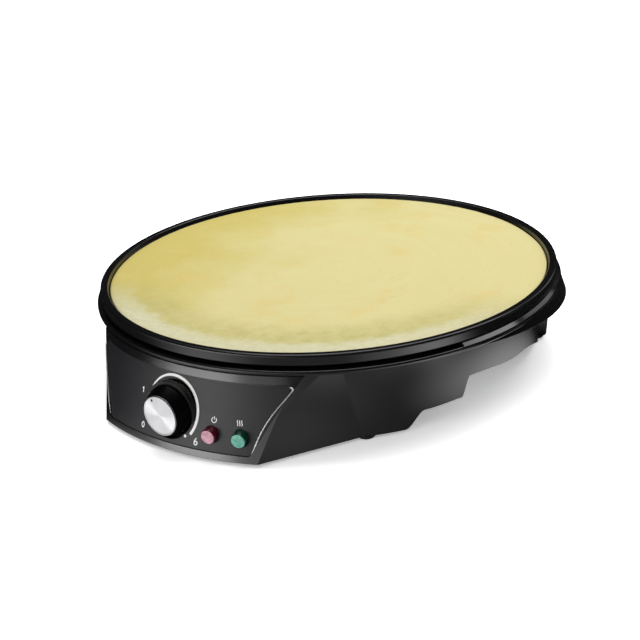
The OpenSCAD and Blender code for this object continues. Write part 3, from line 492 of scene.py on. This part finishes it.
batter, tree = new_material("cooked_batter")
place = add(tree, "ShaderNodeTexCoord").outputs["Object"]
flat = add(tree, "ShaderNodeVectorMath", {0: place, 1: (1, 1, 0)}, operation="MULTIPLY")
radius = add(tree, "ShaderNodeVectorMath", {0: flat}, operation="LENGTH")
hot_side = add(tree, "ShaderNodeVectorMath", {0: flat, 1: HOT_SIDE}, operation="DOT_PRODUCT")
cool_side = add(tree, "ShaderNodeVectorMath", {0: flat, 1: COOL_SIDE}, operation="DOT_PRODUCT")
patch = add(tree, "ShaderNodeTexNoise", {
    "Vector": place, "Scale": 1 / (PATCH_MM * MM), "Detail": 3.0, "Roughness": 0.55})
warmth = add(tree, "ShaderNodeMapRange", {
    "Value": hot_side, "From Min": HOT_FROM, "From Max": HOT_TO, "To Min": -0.25, "To Max": 0.55})
browned = add(tree, "ShaderNodeMath", {0: patch, 1: warmth}, operation="ADD")
browned = add(tree, "ShaderNodeMapRange", {
    "Value": browned, "From Min": 0.35, "From Max": 0.95}, interpolation_type="SMOOTHSTEP")
tone = add(tree, "ShaderNodeMix", {
    "Factor": browned, "A": linear("D8CE93"), "B": linear("C9B965")}, data_type="RGBA")
# a few blushes where the plate was hottest
blush = add(tree, "ShaderNodeTexNoise", {
    "Vector": place, "Scale": 1 / (BLUSH_MM * MM), "Detail": 4.0})
blush = add(tree, "ShaderNodeMapRange", {
    "Value": blush, "From Min": 0.52, "From Max": 0.7, "To Max": 0.45},
    interpolation_type="SMOOTHSTEP")
tone = add(tree, "ShaderNodeMix", {"Factor": blush, "A": tone, "B": linear("DBC37C")},
           data_type="RGBA")
# the mottled olive zone
lace = add(tree, "ShaderNodeTexNoise", {
    "Vector": place, "Scale": 1 / (LACE_MM * MM), "Detail": 5.0, "Roughness": 0.65})
fray = add(tree, "ShaderNodeMapRange", {
    "Value": lace, "To Min": -LACE_REACH, "To Max": LACE_REACH})
frayed = add(tree, "ShaderNodeMath", {0: radius, 1: fray}, operation="ADD")
olive = add(tree, "ShaderNodeMapRange", {
    "Value": frayed, "From Min": OLIVE_FROM, "From Max": OLIVE_TO, "To Max": 0.75},
    interpolation_type="SMOOTHSTEP")
facing = add(tree, "ShaderNodeMapRange", {
    "Value": cool_side, "From Min": OLIVE_SIDE[0], "From Max": OLIVE_SIDE[1]})
olive = add(tree, "ShaderNodeMath", {0: olive, 1: facing}, operation="MULTIPLY")
mottle = add(tree, "ShaderNodeTexNoise", {
    "Vector": place, "Scale": 1 / (MOTTLE_MM * MM), "Detail": 5.0, "Roughness": 0.7})
mottle = add(tree, "ShaderNodeMapRange", {
    "Value": mottle, "From Min": 0.36, "From Max": 0.64, "To Min": 0.6, "To Max": 1.15})
olive = add(tree, "ShaderNodeMath", {0: olive, 1: mottle}, operation="MULTIPLY")
tone = add(tree, "ShaderNodeMix", {"Factor": olive, "A": tone, "B": linear("B7AF6F")},
           data_type="RGBA")
# the pale, lacy edge
blotch = add(tree, "ShaderNodeTexNoise", {
    "Vector": place, "Scale": 1 / (BLOTCH_MM * MM), "Detail": 3.0})
lacy = add(tree, "ShaderNodeMix", {
    "Factor": blotch, "A": linear("C3BE96"), "B": linear("E0DDC0")}, data_type="RGBA")
pale = add(tree, "ShaderNodeMapRange", {
    "Value": frayed, "From Min": PALE_FROM, "From Max": PALE_TO, "To Max": 0.95},
    interpolation_type="SMOOTHSTEP")
facing = add(tree, "ShaderNodeMapRange", {
    "Value": cool_side, "From Min": PALE_SIDE[0], "From Max": PALE_SIDE[1]})
pale = add(tree, "ShaderNodeMath", {0: pale, 1: facing}, operation="MULTIPLY")
tone = add(tree, "ShaderNodeMix", {"Factor": pale, "A": tone, "B": lacy}, data_type="RGBA")
# marks of the wooden spreader, swept round the plate
swept = add(tree, "ShaderNodeVectorMath", {0: flat}, operation="NORMALIZE")
swept = add(tree, "ShaderNodeVectorMath", {0: swept, "Scale": SWEEP_LONG}, operation="SCALE")
pitch = add(tree, "ShaderNodeMath", {0: radius, 1: 1 / (SWEEP_MM * MM)}, operation="MULTIPLY")
lift = add(tree, "ShaderNodeCombineXYZ", {"Z": pitch})
swept = add(tree, "ShaderNodeVectorMath", {0: swept, 1: lift}, operation="ADD")
streak = add(tree, "ShaderNodeTexNoise", {"Vector": swept, "Scale": 1.0, "Detail": 3.0})
light = add(tree, "ShaderNodeMapRange", {
    "Value": streak, "From Min": 0.3, "From Max": 0.7, "To Min": 0.0, "To Max": 0.22})
tone = add(tree, "ShaderNodeMix", {"Factor": light, "A": tone, "B": linear("CEC282")},
           data_type="RGBA")
# the pores of burst bubbles
pore = add(tree, "ShaderNodeTexVoronoi", {
    "Vector": place, "Scale": 1 / (PORE_MM * MM), "Randomness": 1.0})
hole = add(tree, "ShaderNodeMapRange", {
    "Value": pore, "From Min": 0.0, "From Max": 0.28, "To Min": 1.0, "To Max": 0.0},
    interpolation_type="SMOOTHSTEP")
few = add(tree, "ShaderNodeMapRange", {"Value": lace, "From Min": 0.42, "From Max": 0.62})
hole = add(tree, "ShaderNodeMath", {0: hole, 1: few}, operation="MULTIPLY")
speck = add(tree, "ShaderNodeMath", {0: hole, 1: 0.32}, operation="MULTIPLY")
tone = add(tree, "ShaderNodeMix", {"Factor": speck, "A": tone, "B": linear("A89860")},
           data_type="RGBA")
crumb = add(tree, "ShaderNodeTexNoise", {
    "Vector": place, "Scale": 1 / (CRUMB_MM * MM), "Detail": 4.0})
skin = add(tree, "ShaderNodeBump", {"Height": crumb, "Strength": 0.35, "Distance": 0.12 * MM})
marks = add(tree, "ShaderNodeBump", {
    "Height": streak, "Strength": 0.3, "Distance": 0.25 * MM, "Normal": skin})
pits = add(tree, "ShaderNodeBump", {
    "Height": hole, "Strength": 0.5, "Distance": 0.2 * MM, "Normal": marks}, invert=True)
gloss = add(tree, "ShaderNodeMapRange", {"Value": crumb, "To Min": 0.62, "To Max": 0.82})
shade = add(tree, "ShaderNodeBsdfPrincipled", {
    "Base Color": tone, "Roughness": gloss, "Normal": pits, "IOR": 1.4,
    "Specular IOR Level": 0.3})
add(tree, "ShaderNodeOutputMaterial", {"Surface": shade})

crepe_cake = mesh_object("crepe_cake", shape, batter)
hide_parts("crepe")
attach(crepe_cake, "crepe")


# ---------------------------------------------------------------- control panel
# Curved fascia moulded in charcoal ABS and snapped into the console's recess. Its fine
# spark-eroded grain makes it satin beside the glossy housing. The collar round the knob is
# coloured near black, painted shade beside the knob.
PANEL_GRAIN_MM = 0.7                    # real grain is 0.3 mm, too fine to show
PANEL_TONE_MM = 30
PANEL_EDGE_R = 0.6 * MM
KNOB_Z = 26.8 * MM
COLLAR_SHADE_IN, COLLAR_SHADE_OUT = 19.1 * MM, 19.3 * MM    # where the painted shade round the knob fades out

panel_plastic, tree = new_material("spark_eroded_charcoal_abs")
place = add(tree, "ShaderNodeTexCoord").outputs["Object"]
grain = add(tree, "ShaderNodeTexVoronoi", {"Vector": place, "Scale": 1 / (PANEL_GRAIN_MM * MM)})
cloud = add(tree, "ShaderNodeTexNoise", {
    "Vector": place, "Scale": 1 / (PANEL_TONE_MM * MM), "Detail": 2.0})
tone = add(tree, "ShaderNodeMix", {
    "Factor": cloud, "A": linear("17171A"), "B": linear("1E1E21")}, data_type="RGBA")
centred = add(tree, "ShaderNodeVectorMath", {0: place, 1: (0, 0, KNOB_Z)}, operation="SUBTRACT")
across = add(tree, "ShaderNodeVectorMath", {0: centred, 1: (1, 0, 1)}, operation="MULTIPLY")
radius = add(tree, "ShaderNodeVectorMath", {0: across}, operation="LENGTH")
# painted shade: the panel turns near black round the knob, out to its collar
collar_shade = add(tree, "ShaderNodeMapRange", {
    "Value": radius, "From Min": COLLAR_SHADE_OUT, "From Max": COLLAR_SHADE_IN})
tone = add(tree, "ShaderNodeMix", {"Factor": collar_shade, "A": tone, "B": linear("040404")},
           data_type="RGBA")
gloss = add(tree, "ShaderNodeMapRange", {"Value": grain, "To Min": 0.38, "To Max": 0.48})
edge = add(tree, "ShaderNodeBevel", {"Radius": PANEL_EDGE_R}, samples=8)
relief = add(tree, "ShaderNodeBump", {
    "Height": grain, "Strength": 0.15, "Distance": 0.015 * MM, "Normal": edge})
shade = add(tree, "ShaderNodeBsdfPrincipled", {
    "Base Color": tone, "Roughness": gloss, "Normal": relief, "IOR": 1.53,
    "Specular IOR Level": 0.28})
add(tree, "ShaderNodeOutputMaterial", {"Surface": shade})
dress(panel_plastic, "control_panel")


# ---------------------------------------------------------------- panel edge highlights
# Round beads of bright silver laid on the panel, painted highlights along its edges: one down
# each side, the right one bowed inwards and hooked round its top corner, and a hair-thin smoked one
# along the top seam.
PANEL_TOP, PANEL_LOW = 49.2 * MM, 6.7 * MM
PANEL_HALF_TOP, PANEL_HALF_LOW = 79.5 * MM, 58.7 * MM
CONSOLE_R_TOP_MM = 165.2
CONSOLE_SLOPE = math.tan(math.radians(18.3))
BEAD_SIDES, BEAD_STEPS = 10, 28
BEAD_LIFT = 0.12 * MM
BEAD_FOOT, BEAD_SHORT = 1.5 * MM, 4 * MM        # above the panel's foot, and shorter in all
BEAD_THIN = 0.15                                # radius at the foot, in mm
BEAD_SWELLS, BEAD_SLIMS = 6, 0.4                # full within a sixth, then slimmer upwards
BOW_FULLNESS = 1.3
HOOK_R, HOOK_TURN = 1.6 * MM, 15                # and degrees from one point to the next
HOOK_RADII = (0.7, 0.65, 0.55, 0.45, 0.35, 0.25, 0.15)      # in mm
TOP_BEAD_FROM, TOP_BEAD_STEP, TOP_BEAD_POINTS = -52, 3.05, 41       # mm from side to side
TOP_BEAD_R = 0.16 * MM


def on_console(x, z, lift=0.0):
    """A point on the console's leaning front."""
    r = CONSOLE_R_TOP_MM * MM + (PANEL_TOP - z) * CONSOLE_SLOPE + lift
    return Vector((x, -math.sqrt(r * r - x * x), z))


def bead(name, path, radii, material, body):
    """A closed round bead along a path, with its radius at each point."""
    shape = bmesh.new()
    loops = []
    for i, (point, r) in enumerate(zip(path, radii)):
        run = (path[min(i + 1, len(path) - 1)] - path[max(i - 1, 0)]).normalized()
        out = Vector((point.x, point.y, 0)).normalized()
        side = run.cross(out).normalized()
        out = side.cross(run)
        angles = [2 * math.pi * k / BEAD_SIDES for k in range(BEAD_SIDES)]
        loops.append([shape.verts.new(point + r * (math.cos(t) * out + math.sin(t) * side))
                      for t in angles])
    for a, b in zip(loops, loops[1:]):
        for k in range(BEAD_SIDES):
            m = (k + 1) % BEAD_SIDES
            shape.faces.new((a[k], a[m], b[m], b[k])).smooth = True
    shape.faces.new(loops[0][::-1])
    shape.faces.new(loops[-1])
    bmesh.ops.recalc_face_normals(shape, faces=shape.faces)
    piece = mesh_object(name, shape, material)
    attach(piece, body)


# painted highlights: bright silver beads stand in for the light on the panel's edges
silver_highlight_bead = bare_metal("silver_painted_highlight", "C9C9CB", "E8E8EA", 0.6, 0.40, 0.004)
smoked_highlight_bead = bare_metal("smoked_painted_highlight", "4E4E50", "666668", 0.6, 0.42, 0.004)
for name, side, bow, swell in (("panel_edge_highlight_left", -1, 0.0, 0.6),
                               ("panel_edge_highlight_right", 1, 2.6 * MM, 0.38)):
    path, radii = [], []
    for i in range(BEAD_STEPS + 1):
        t = i / BEAD_STEPS
        z = PANEL_LOW + BEAD_FOOT + (PANEL_TOP - PANEL_LOW - BEAD_SHORT) * t
        widening = (z - PANEL_LOW) / (PANEL_TOP - PANEL_LOW)
        x = PANEL_HALF_LOW + (PANEL_HALF_TOP - PANEL_HALF_LOW) * widening
        inwards = bow * math.sin(math.pi * t) ** BOW_FULLNESS
        path.append(on_console(side * (x - inwards), z, BEAD_LIFT))
        radii.append((BEAD_THIN + swell * min(1.0, BEAD_SWELLS * t) * (1 - BEAD_SLIMS * t)) * MM)
    if side > 0:
        for i, thick in enumerate(HOOK_RADII, 1):
            a = math.radians(HOOK_TURN * i)
            path.append(on_console(x - HOOK_R * (1 - math.cos(a)), z + HOOK_R * math.sin(a),
                                   BEAD_LIFT))
            radii.append(thick * MM)
    bead(name, path, radii, silver_highlight_bead, "base")
path = [on_console((TOP_BEAD_FROM + TOP_BEAD_STEP * i) * MM, PANEL_TOP)
        for i in range(TOP_BEAD_POINTS)]
bead("panel_edge_highlight_top", path, [TOP_BEAD_R] * TOP_BEAD_POINTS, smoked_highlight_bead, "base")


# ---------------------------------------------------------------- dial print
# Pad-printed white epoxy ink on the panel round the knob, dull and a little uneven: a tapering
# arc from low to high heat with a dot at each end, plain numbers, and a symbol over each lamp.
# Places are in mm beside the knob's axis and above it.
PANEL_SUNK = 0.35                       # mm that the panel lies inside the console's cone
PANEL_R_TOP = (CONSOLE_R_TOP_MM - PANEL_SUNK) * MM
INK_SUNK, INK_PROUD = 0.02 * MM, 0.04 * MM
INK_THIN_MM = 0.9                       # spacing of the thin spots
ARC_R = 20.7
ARC_FROM, ARC_TO = 165, -36             # degrees, from low heat over the top to high heat
ARC_THIN, ARC_THICK = 0.6, 1.8
ARC_STEPS, TAPER_STEPS = 72, 40
NUMBER_STROKE, SYMBOL_STROKE = 0.7, 0.45

white_ink, tree = new_material("white_epoxy_ink")
place = add(tree, "ShaderNodeTexCoord").outputs["Object"]
thin = add(tree, "ShaderNodeTexNoise", {
    "Vector": place, "Scale": 1 / (INK_THIN_MM * MM), "Detail": 2.0})
tone = add(tree, "ShaderNodeMix", {"Factor": thin, "A": linear("D9D9D6"), "B": linear("F3F3F1")},
           data_type="RGBA")
relief = add(tree, "ShaderNodeBump", {"Height": thin, "Strength": 0.2, "Distance": 0.01 * MM})
shade = add(tree, "ShaderNodeBsdfPrincipled", {
    "Base Color": tone, "Roughness": 0.45, "Normal": relief, "IOR": 1.5})
add(tree, "ShaderNodeOutputMaterial", {"Surface": shade})


def on_panel(x, z, lift):
    """A point on the panel, from its place in mm seen from the front, beside the knob's axis."""
    height = KNOB_Z + z * MM
    r = PANEL_R_TOP + (PANEL_TOP - height) * CONSOLE_SLOPE + lift
    return (x * MM, -math.sqrt(r * r - (x * MM) ** 2), height)


def ink(name, strips):
    """One print of strips of quads: each strip is a list of point pairs, made a thin solid."""
    shape = bmesh.new()
    for strip in strips:
        columns = [[shape.verts.new(on_panel(p[0], p[1], lift)) for p in pair
                    for lift in (-INK_SUNK, INK_PROUD)] for pair in strip]
        looped = strip[0] == strip[-1]
        if looped:
            for v in columns.pop():
                shape.verts.remove(v)
        count = len(columns)
        for i in range(count if looped else count - 1):
            a, b = columns[i], columns[(i + 1) % count]
            for p, q in ((0, 1), (1, 3), (3, 2), (2, 0)):
                shape.faces.new((a[p], a[q], b[q], b[p]))
        if not looped:
            first, last = columns[0], columns[-1]
            shape.faces.new((first[0], first[2], first[3], first[1]))
            shape.faces.new((last[1], last[3], last[2], last[0]))
    bmesh.ops.recalc_face_normals(shape, faces=shape.faces)
    piece = mesh_object(name, shape, white_ink)
    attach(piece, "base")


def curve_strip(points, width, closed=False):
    """The two sides of a line of a given width through the points."""
    sides = []
    last = len(points) - 1
    for i, (x, z) in enumerate(points):
        before = points[i - 1] if i or closed else points[i]
        after = points[(i + 1) % len(points)] if i < last or closed else points[i]
        dx, dz = after[0] - before[0], after[1] - before[1]
        length = math.hypot(dx, dz)
        half = (width[i] if isinstance(width, list) else width) / 2
        sides.append(((x - dz / length * half, z + dx / length * half),
                      (x + dz / length * half, z - dx / length * half)))
    return sides + [sides[0]] if closed else sides


def round_line(cx, cz, rx, rz, start, stop, count):
    """Points along an ellipse's arc, angles in degrees."""
    angles = [math.radians(start + (stop - start) * i / count) for i in range(count + 1)]
    return [(cx + rx * math.cos(a), cz + rz * math.sin(a)) for a in angles]


def closed_ring(cx, cz, rx, rz, width, count):
    """An ellipse drawn with a line of a given width."""
    return curve_strip(round_line(cx, cz, rx, rz, 0, 360, count)[:-1], width, closed=True)


def dot(cx, cz, r):
    """A filled dot: a ring as wide as its own radius, open by a hair in the middle."""
    return closed_ring(cx, cz, r * 0.5, r * 0.5, r * 0.999, 20)


arc = round_line(0, 0, ARC_R, ARC_R, ARC_FROM, ARC_TO, ARC_STEPS)
taper = [ARC_THIN + (ARC_THICK - ARC_THIN) * math.sin(math.pi / 2 * min(1.0, i / TAPER_STEPS))
         for i in range(ARC_STEPS + 1)]
ink("heat_scale_arc", [curve_strip(arc, taper)])
ink("heat_scale_dots", [dot(-20.6, 4.7, 0.75), dot(13.1, -13.8, 0.9)])

nought = [closed_ring(-23.3, -14.8, 1.05, 1.6, NUMBER_STROKE, 24)]
one = [curve_strip([(-27.4, 6.7), (-26.4, 7.6)], NUMBER_STROKE),
       curve_strip([(-26.4, 7.85), (-26.4, 4.4)], NUMBER_STROKE)]
six = [closed_ring(21.4, -16.6, 1.1, 1.1, NUMBER_STROKE, 20),
       curve_strip(round_line(22.6, -16.4, 2.3, 2.9, 178, 112, 8), NUMBER_STROKE)]
ink("heat_scale_numbers", nought + one + six)

# mains: a broken ring with a bar; warm: three rising waves
mains = [curve_strip(round_line(32.6, -0.9, 1.6, 1.6, 125, 415, 24), SYMBOL_STROKE),
         curve_strip([(32.6, 1.3), (32.6, -0.6)], SYMBOL_STROKE)]
warm = []
for i in range(3):
    wave = [(48.2 + 1.4 * i + 0.35 * math.sin(2 * math.pi * t / 8), -2.6 + 0.42 * t)
            for t in range(9)]
    warm.append(curve_strip(wave, SYMBOL_STROKE))
ink("lamp_symbols", mains + warm)


# ---------------------------------------------------------------- indicator lamps
# Polished polycarbonate lenses, tinted red and green, with a frosted front face over a clear
# deep-coloured barrel. Behind each one sits a neon lamp of clear soda glass.
POWER_LENS_AXIS, READY_LENS_AXIS = -79.6, -73.0         # azimuth of each lens, in degrees
FROST_MM = 2.2
SEED_MM = 2                                             # fine bubbles in the glass


def tinted_lens(name, deep, front, axis):
    """Tinted polycarbonate whose front face, square to the axis, is frosted."""
    a = math.radians(axis)
    material, tree = new_material(name)
    coords = add(tree, "ShaderNodeTexCoord")
    along = add(tree, "ShaderNodeVectorMath", {
        0: coords.outputs["Normal"], 1: (math.cos(a), math.sin(a), 0)}, operation="DOT_PRODUCT")
    face = add(tree, "ShaderNodeMapRange", {
        "Value": along, "From Min": 0.75, "From Max": 0.97}, interpolation_type="SMOOTHSTEP")
    mottle = add(tree, "ShaderNodeTexNoise", {
        "Vector": coords.outputs["Object"], "Scale": 1 / (FROST_MM * MM), "Detail": 3.0})
    uneven = add(tree, "ShaderNodeMapRange", {
        "Value": mottle, "From Min": 0.35, "From Max": 0.65})
    frost = add(tree, "ShaderNodeMix", {
        "Factor": uneven, "A": linear(front[0]), "B": linear(front[1])}, data_type="RGBA")
    tone = add(tree, "ShaderNodeMix", {"Factor": face, "A": linear(deep), "B": frost},
               data_type="RGBA")
    gloss = add(tree, "ShaderNodeMapRange", {"Value": face, "To Min": 0.12, "To Max": 0.35})
    relief = add(tree, "ShaderNodeBump", {
        "Height": mottle, "Strength": 0.2, "Distance": 0.03 * MM})
    clear = add(tree, "ShaderNodeMapRange", {"Value": face, "To Min": 0.35, "To Max": 0.0})
    shade = add(tree, "ShaderNodeBsdfPrincipled", {
        "Base Color": tone, "Roughness": gloss, "Normal": relief, "IOR": 1.58,
        "Transmission Weight": clear})
    add(tree, "ShaderNodeOutputMaterial", {"Surface": shade})
    return material


red_lens = tinted_lens("red_polycarbonate", "5A0A22", ("A67585", "CE9DAA"), POWER_LENS_AXIS)
green_lens = tinted_lens("green_polycarbonate", "04402F", ("509583", "78BBA8"), READY_LENS_AXIS)
dress(red_lens, "power_lens")
dress(green_lens, "ready_lens")

neon_glass, tree = new_material("soda_glass_neon")
place = add(tree, "ShaderNodeTexCoord").outputs["Object"]
seed = add(tree, "ShaderNodeTexNoise", {
    "Vector": place, "Scale": 1 / (SEED_MM * MM), "Detail": 2.0})
tone = add(tree, "ShaderNodeMix", {"Factor": seed, "A": linear("DCD4C8"), "B": linear("F0EAE0")},
           data_type="RGBA")
shade = add(tree, "ShaderNodeBsdfPrincipled", {
    "Base Color": tone, "Roughness": 0.1, "IOR": 1.52, "Transmission Weight": 0.6})
add(tree, "ShaderNodeOutputMaterial", {"Surface": shade})
dress(neon_glass, "power_neon", "ready_neon")


# ---------------------------------------------------------------- knob
# Compression-moulded phenolic, deep gloss black, pushed on the thermostat's spindle. Its cap
# is a spun aluminium disc whose turned rings spread the light into a bow tie, with a dot of
# black enamel as the pointer.
KNOB_PEEL_MM = 1.6                      # spacing of its faint orange peel
KNOB_EDGE_R = 0.5 * MM
TURNING_MM = 0.55                       # pitch of the turned rings, coarser than real to show

gloss_phenolic, tree = new_material("gloss_black_phenolic")
place = add(tree, "ShaderNodeTexCoord").outputs["Object"]
peel = add(tree, "ShaderNodeTexNoise", {
    "Vector": place, "Scale": 1 / (KNOB_PEEL_MM * MM), "Detail": 2.0})
tone = add(tree, "ShaderNodeMix", {"Factor": peel, "A": linear("030303"), "B": linear("080808")},
           data_type="RGBA")
gloss = add(tree, "ShaderNodeMapRange", {"Value": peel, "To Min": 0.2, "To Max": 0.3})
edge = add(tree, "ShaderNodeBevel", {"Radius": KNOB_EDGE_R}, samples=8)
relief = add(tree, "ShaderNodeBump", {
    "Height": peel, "Strength": 0.15, "Distance": 0.02 * MM, "Normal": edge})
shade = add(tree, "ShaderNodeBsdfPrincipled", {
    "Base Color": tone, "Roughness": gloss, "Normal": relief, "IOR": 1.3,
    "Specular IOR Level": 0.05})
add(tree, "ShaderNodeOutputMaterial", {"Surface": shade})
dress(gloss_phenolic, "knob")

turned_cap, tree = new_material("spun_aluminium")
place = add(tree, "ShaderNodeTexCoord").outputs["Object"]
centred = add(tree, "ShaderNodeVectorMath", {0: place, 1: (0, 0, KNOB_Z)}, operation="SUBTRACT")
across = add(tree, "ShaderNodeVectorMath", {0: centred, 1: (1, 0, 1)}, operation="MULTIPLY")
radius = add(tree, "ShaderNodeVectorMath", {0: across}, operation="LENGTH")
pitch = add(tree, "ShaderNodeMath", {0: radius, 1: 1 / (TURNING_MM * MM)}, operation="MULTIPLY")
turned = add(tree, "ShaderNodeTexNoise", {"W": pitch, "Scale": 1.0, "Detail": 2.0},
             noise_dimensions="1D")
tone = add(tree, "ShaderNodeMix", {
    "Factor": turned, "A": linear("A2A2A4"), "B": linear("C9C9CB")}, data_type="RGBA")
relief = add(tree, "ShaderNodeBump", {"Height": turned, "Strength": 0.25, "Distance": 0.02 * MM})
turning = add(tree, "ShaderNodeTangent", direction_type="RADIAL", axis="Y")
shade = add(tree, "ShaderNodeBsdfPrincipled", {
    "Base Color": tone, "Metallic": 1.0, "Roughness": 0.36, "Anisotropic": 0.95,
    "Tangent": turning, "Normal": relief})
add(tree, "ShaderNodeOutputMaterial", {"Surface": shade})
dress(turned_cap, "knob_cap")

dot_enamel = matt_moulding("black_enamel", "060606", "0C0C0C", 0.5, 0.5, 0.01, 1.5)
dress(dot_enamel, "knob_pointer")


# ---------------------------------------------------------------- thermostat and small metal
# Capillary thermostat behind the knob: cream phenolic case, brass tabs, copper capillary and
# bulb and a nickel-plated spindle, each bright as drawn or plated. The clips, the strap and
# the knob's spring are bent from grey spring steel.
phenolic = matt_moulding("cream_phenolic", "C9B98F", "D8CAA4", 1.1, 0.42, 0.02, 1.55)
brass = bare_metal("sheet_brass", "B08F4A", "CFAE66", 0.6, 0.34, 0.01)
copper = bare_metal("drawn_copper", "A9643F", "C98560", 0.6, 0.32, 0.01)
nickel = bare_metal("nickel_plated_steel", "AFAFAE", "CFCFCD", 0.5, 0.22, 0.01)
spring_steel = bare_metal("spring_steel", "7F8082", "A2A3A5", 0.8, 0.36, 0.01)
dress(phenolic, "thermostat_body")
dress(brass, "thermostat_terminals", "terminal_screws")
dress(copper, "thermostat_capillary")
dress(nickel, "thermostat_spindle", "thermal_cutoff")
dress(spring_steel, "thermostat_bracket", "bulb_clip", "cutoff_strap", "power_lens_clip",
      "ready_lens_clip", "knob_spring")


# ---------------------------------------------------------------- wiring
# Silicone-insulated leads from the inlet to the thermostat, lamps and heater: brick red,
# extruded, and dull with a little talc.
silicone = matt_moulding("talced_silicone", "8C2A18", "A63C26", 1.4, 0.55, 0.02, 1.43)
dress(silicone, "internal_wiring")
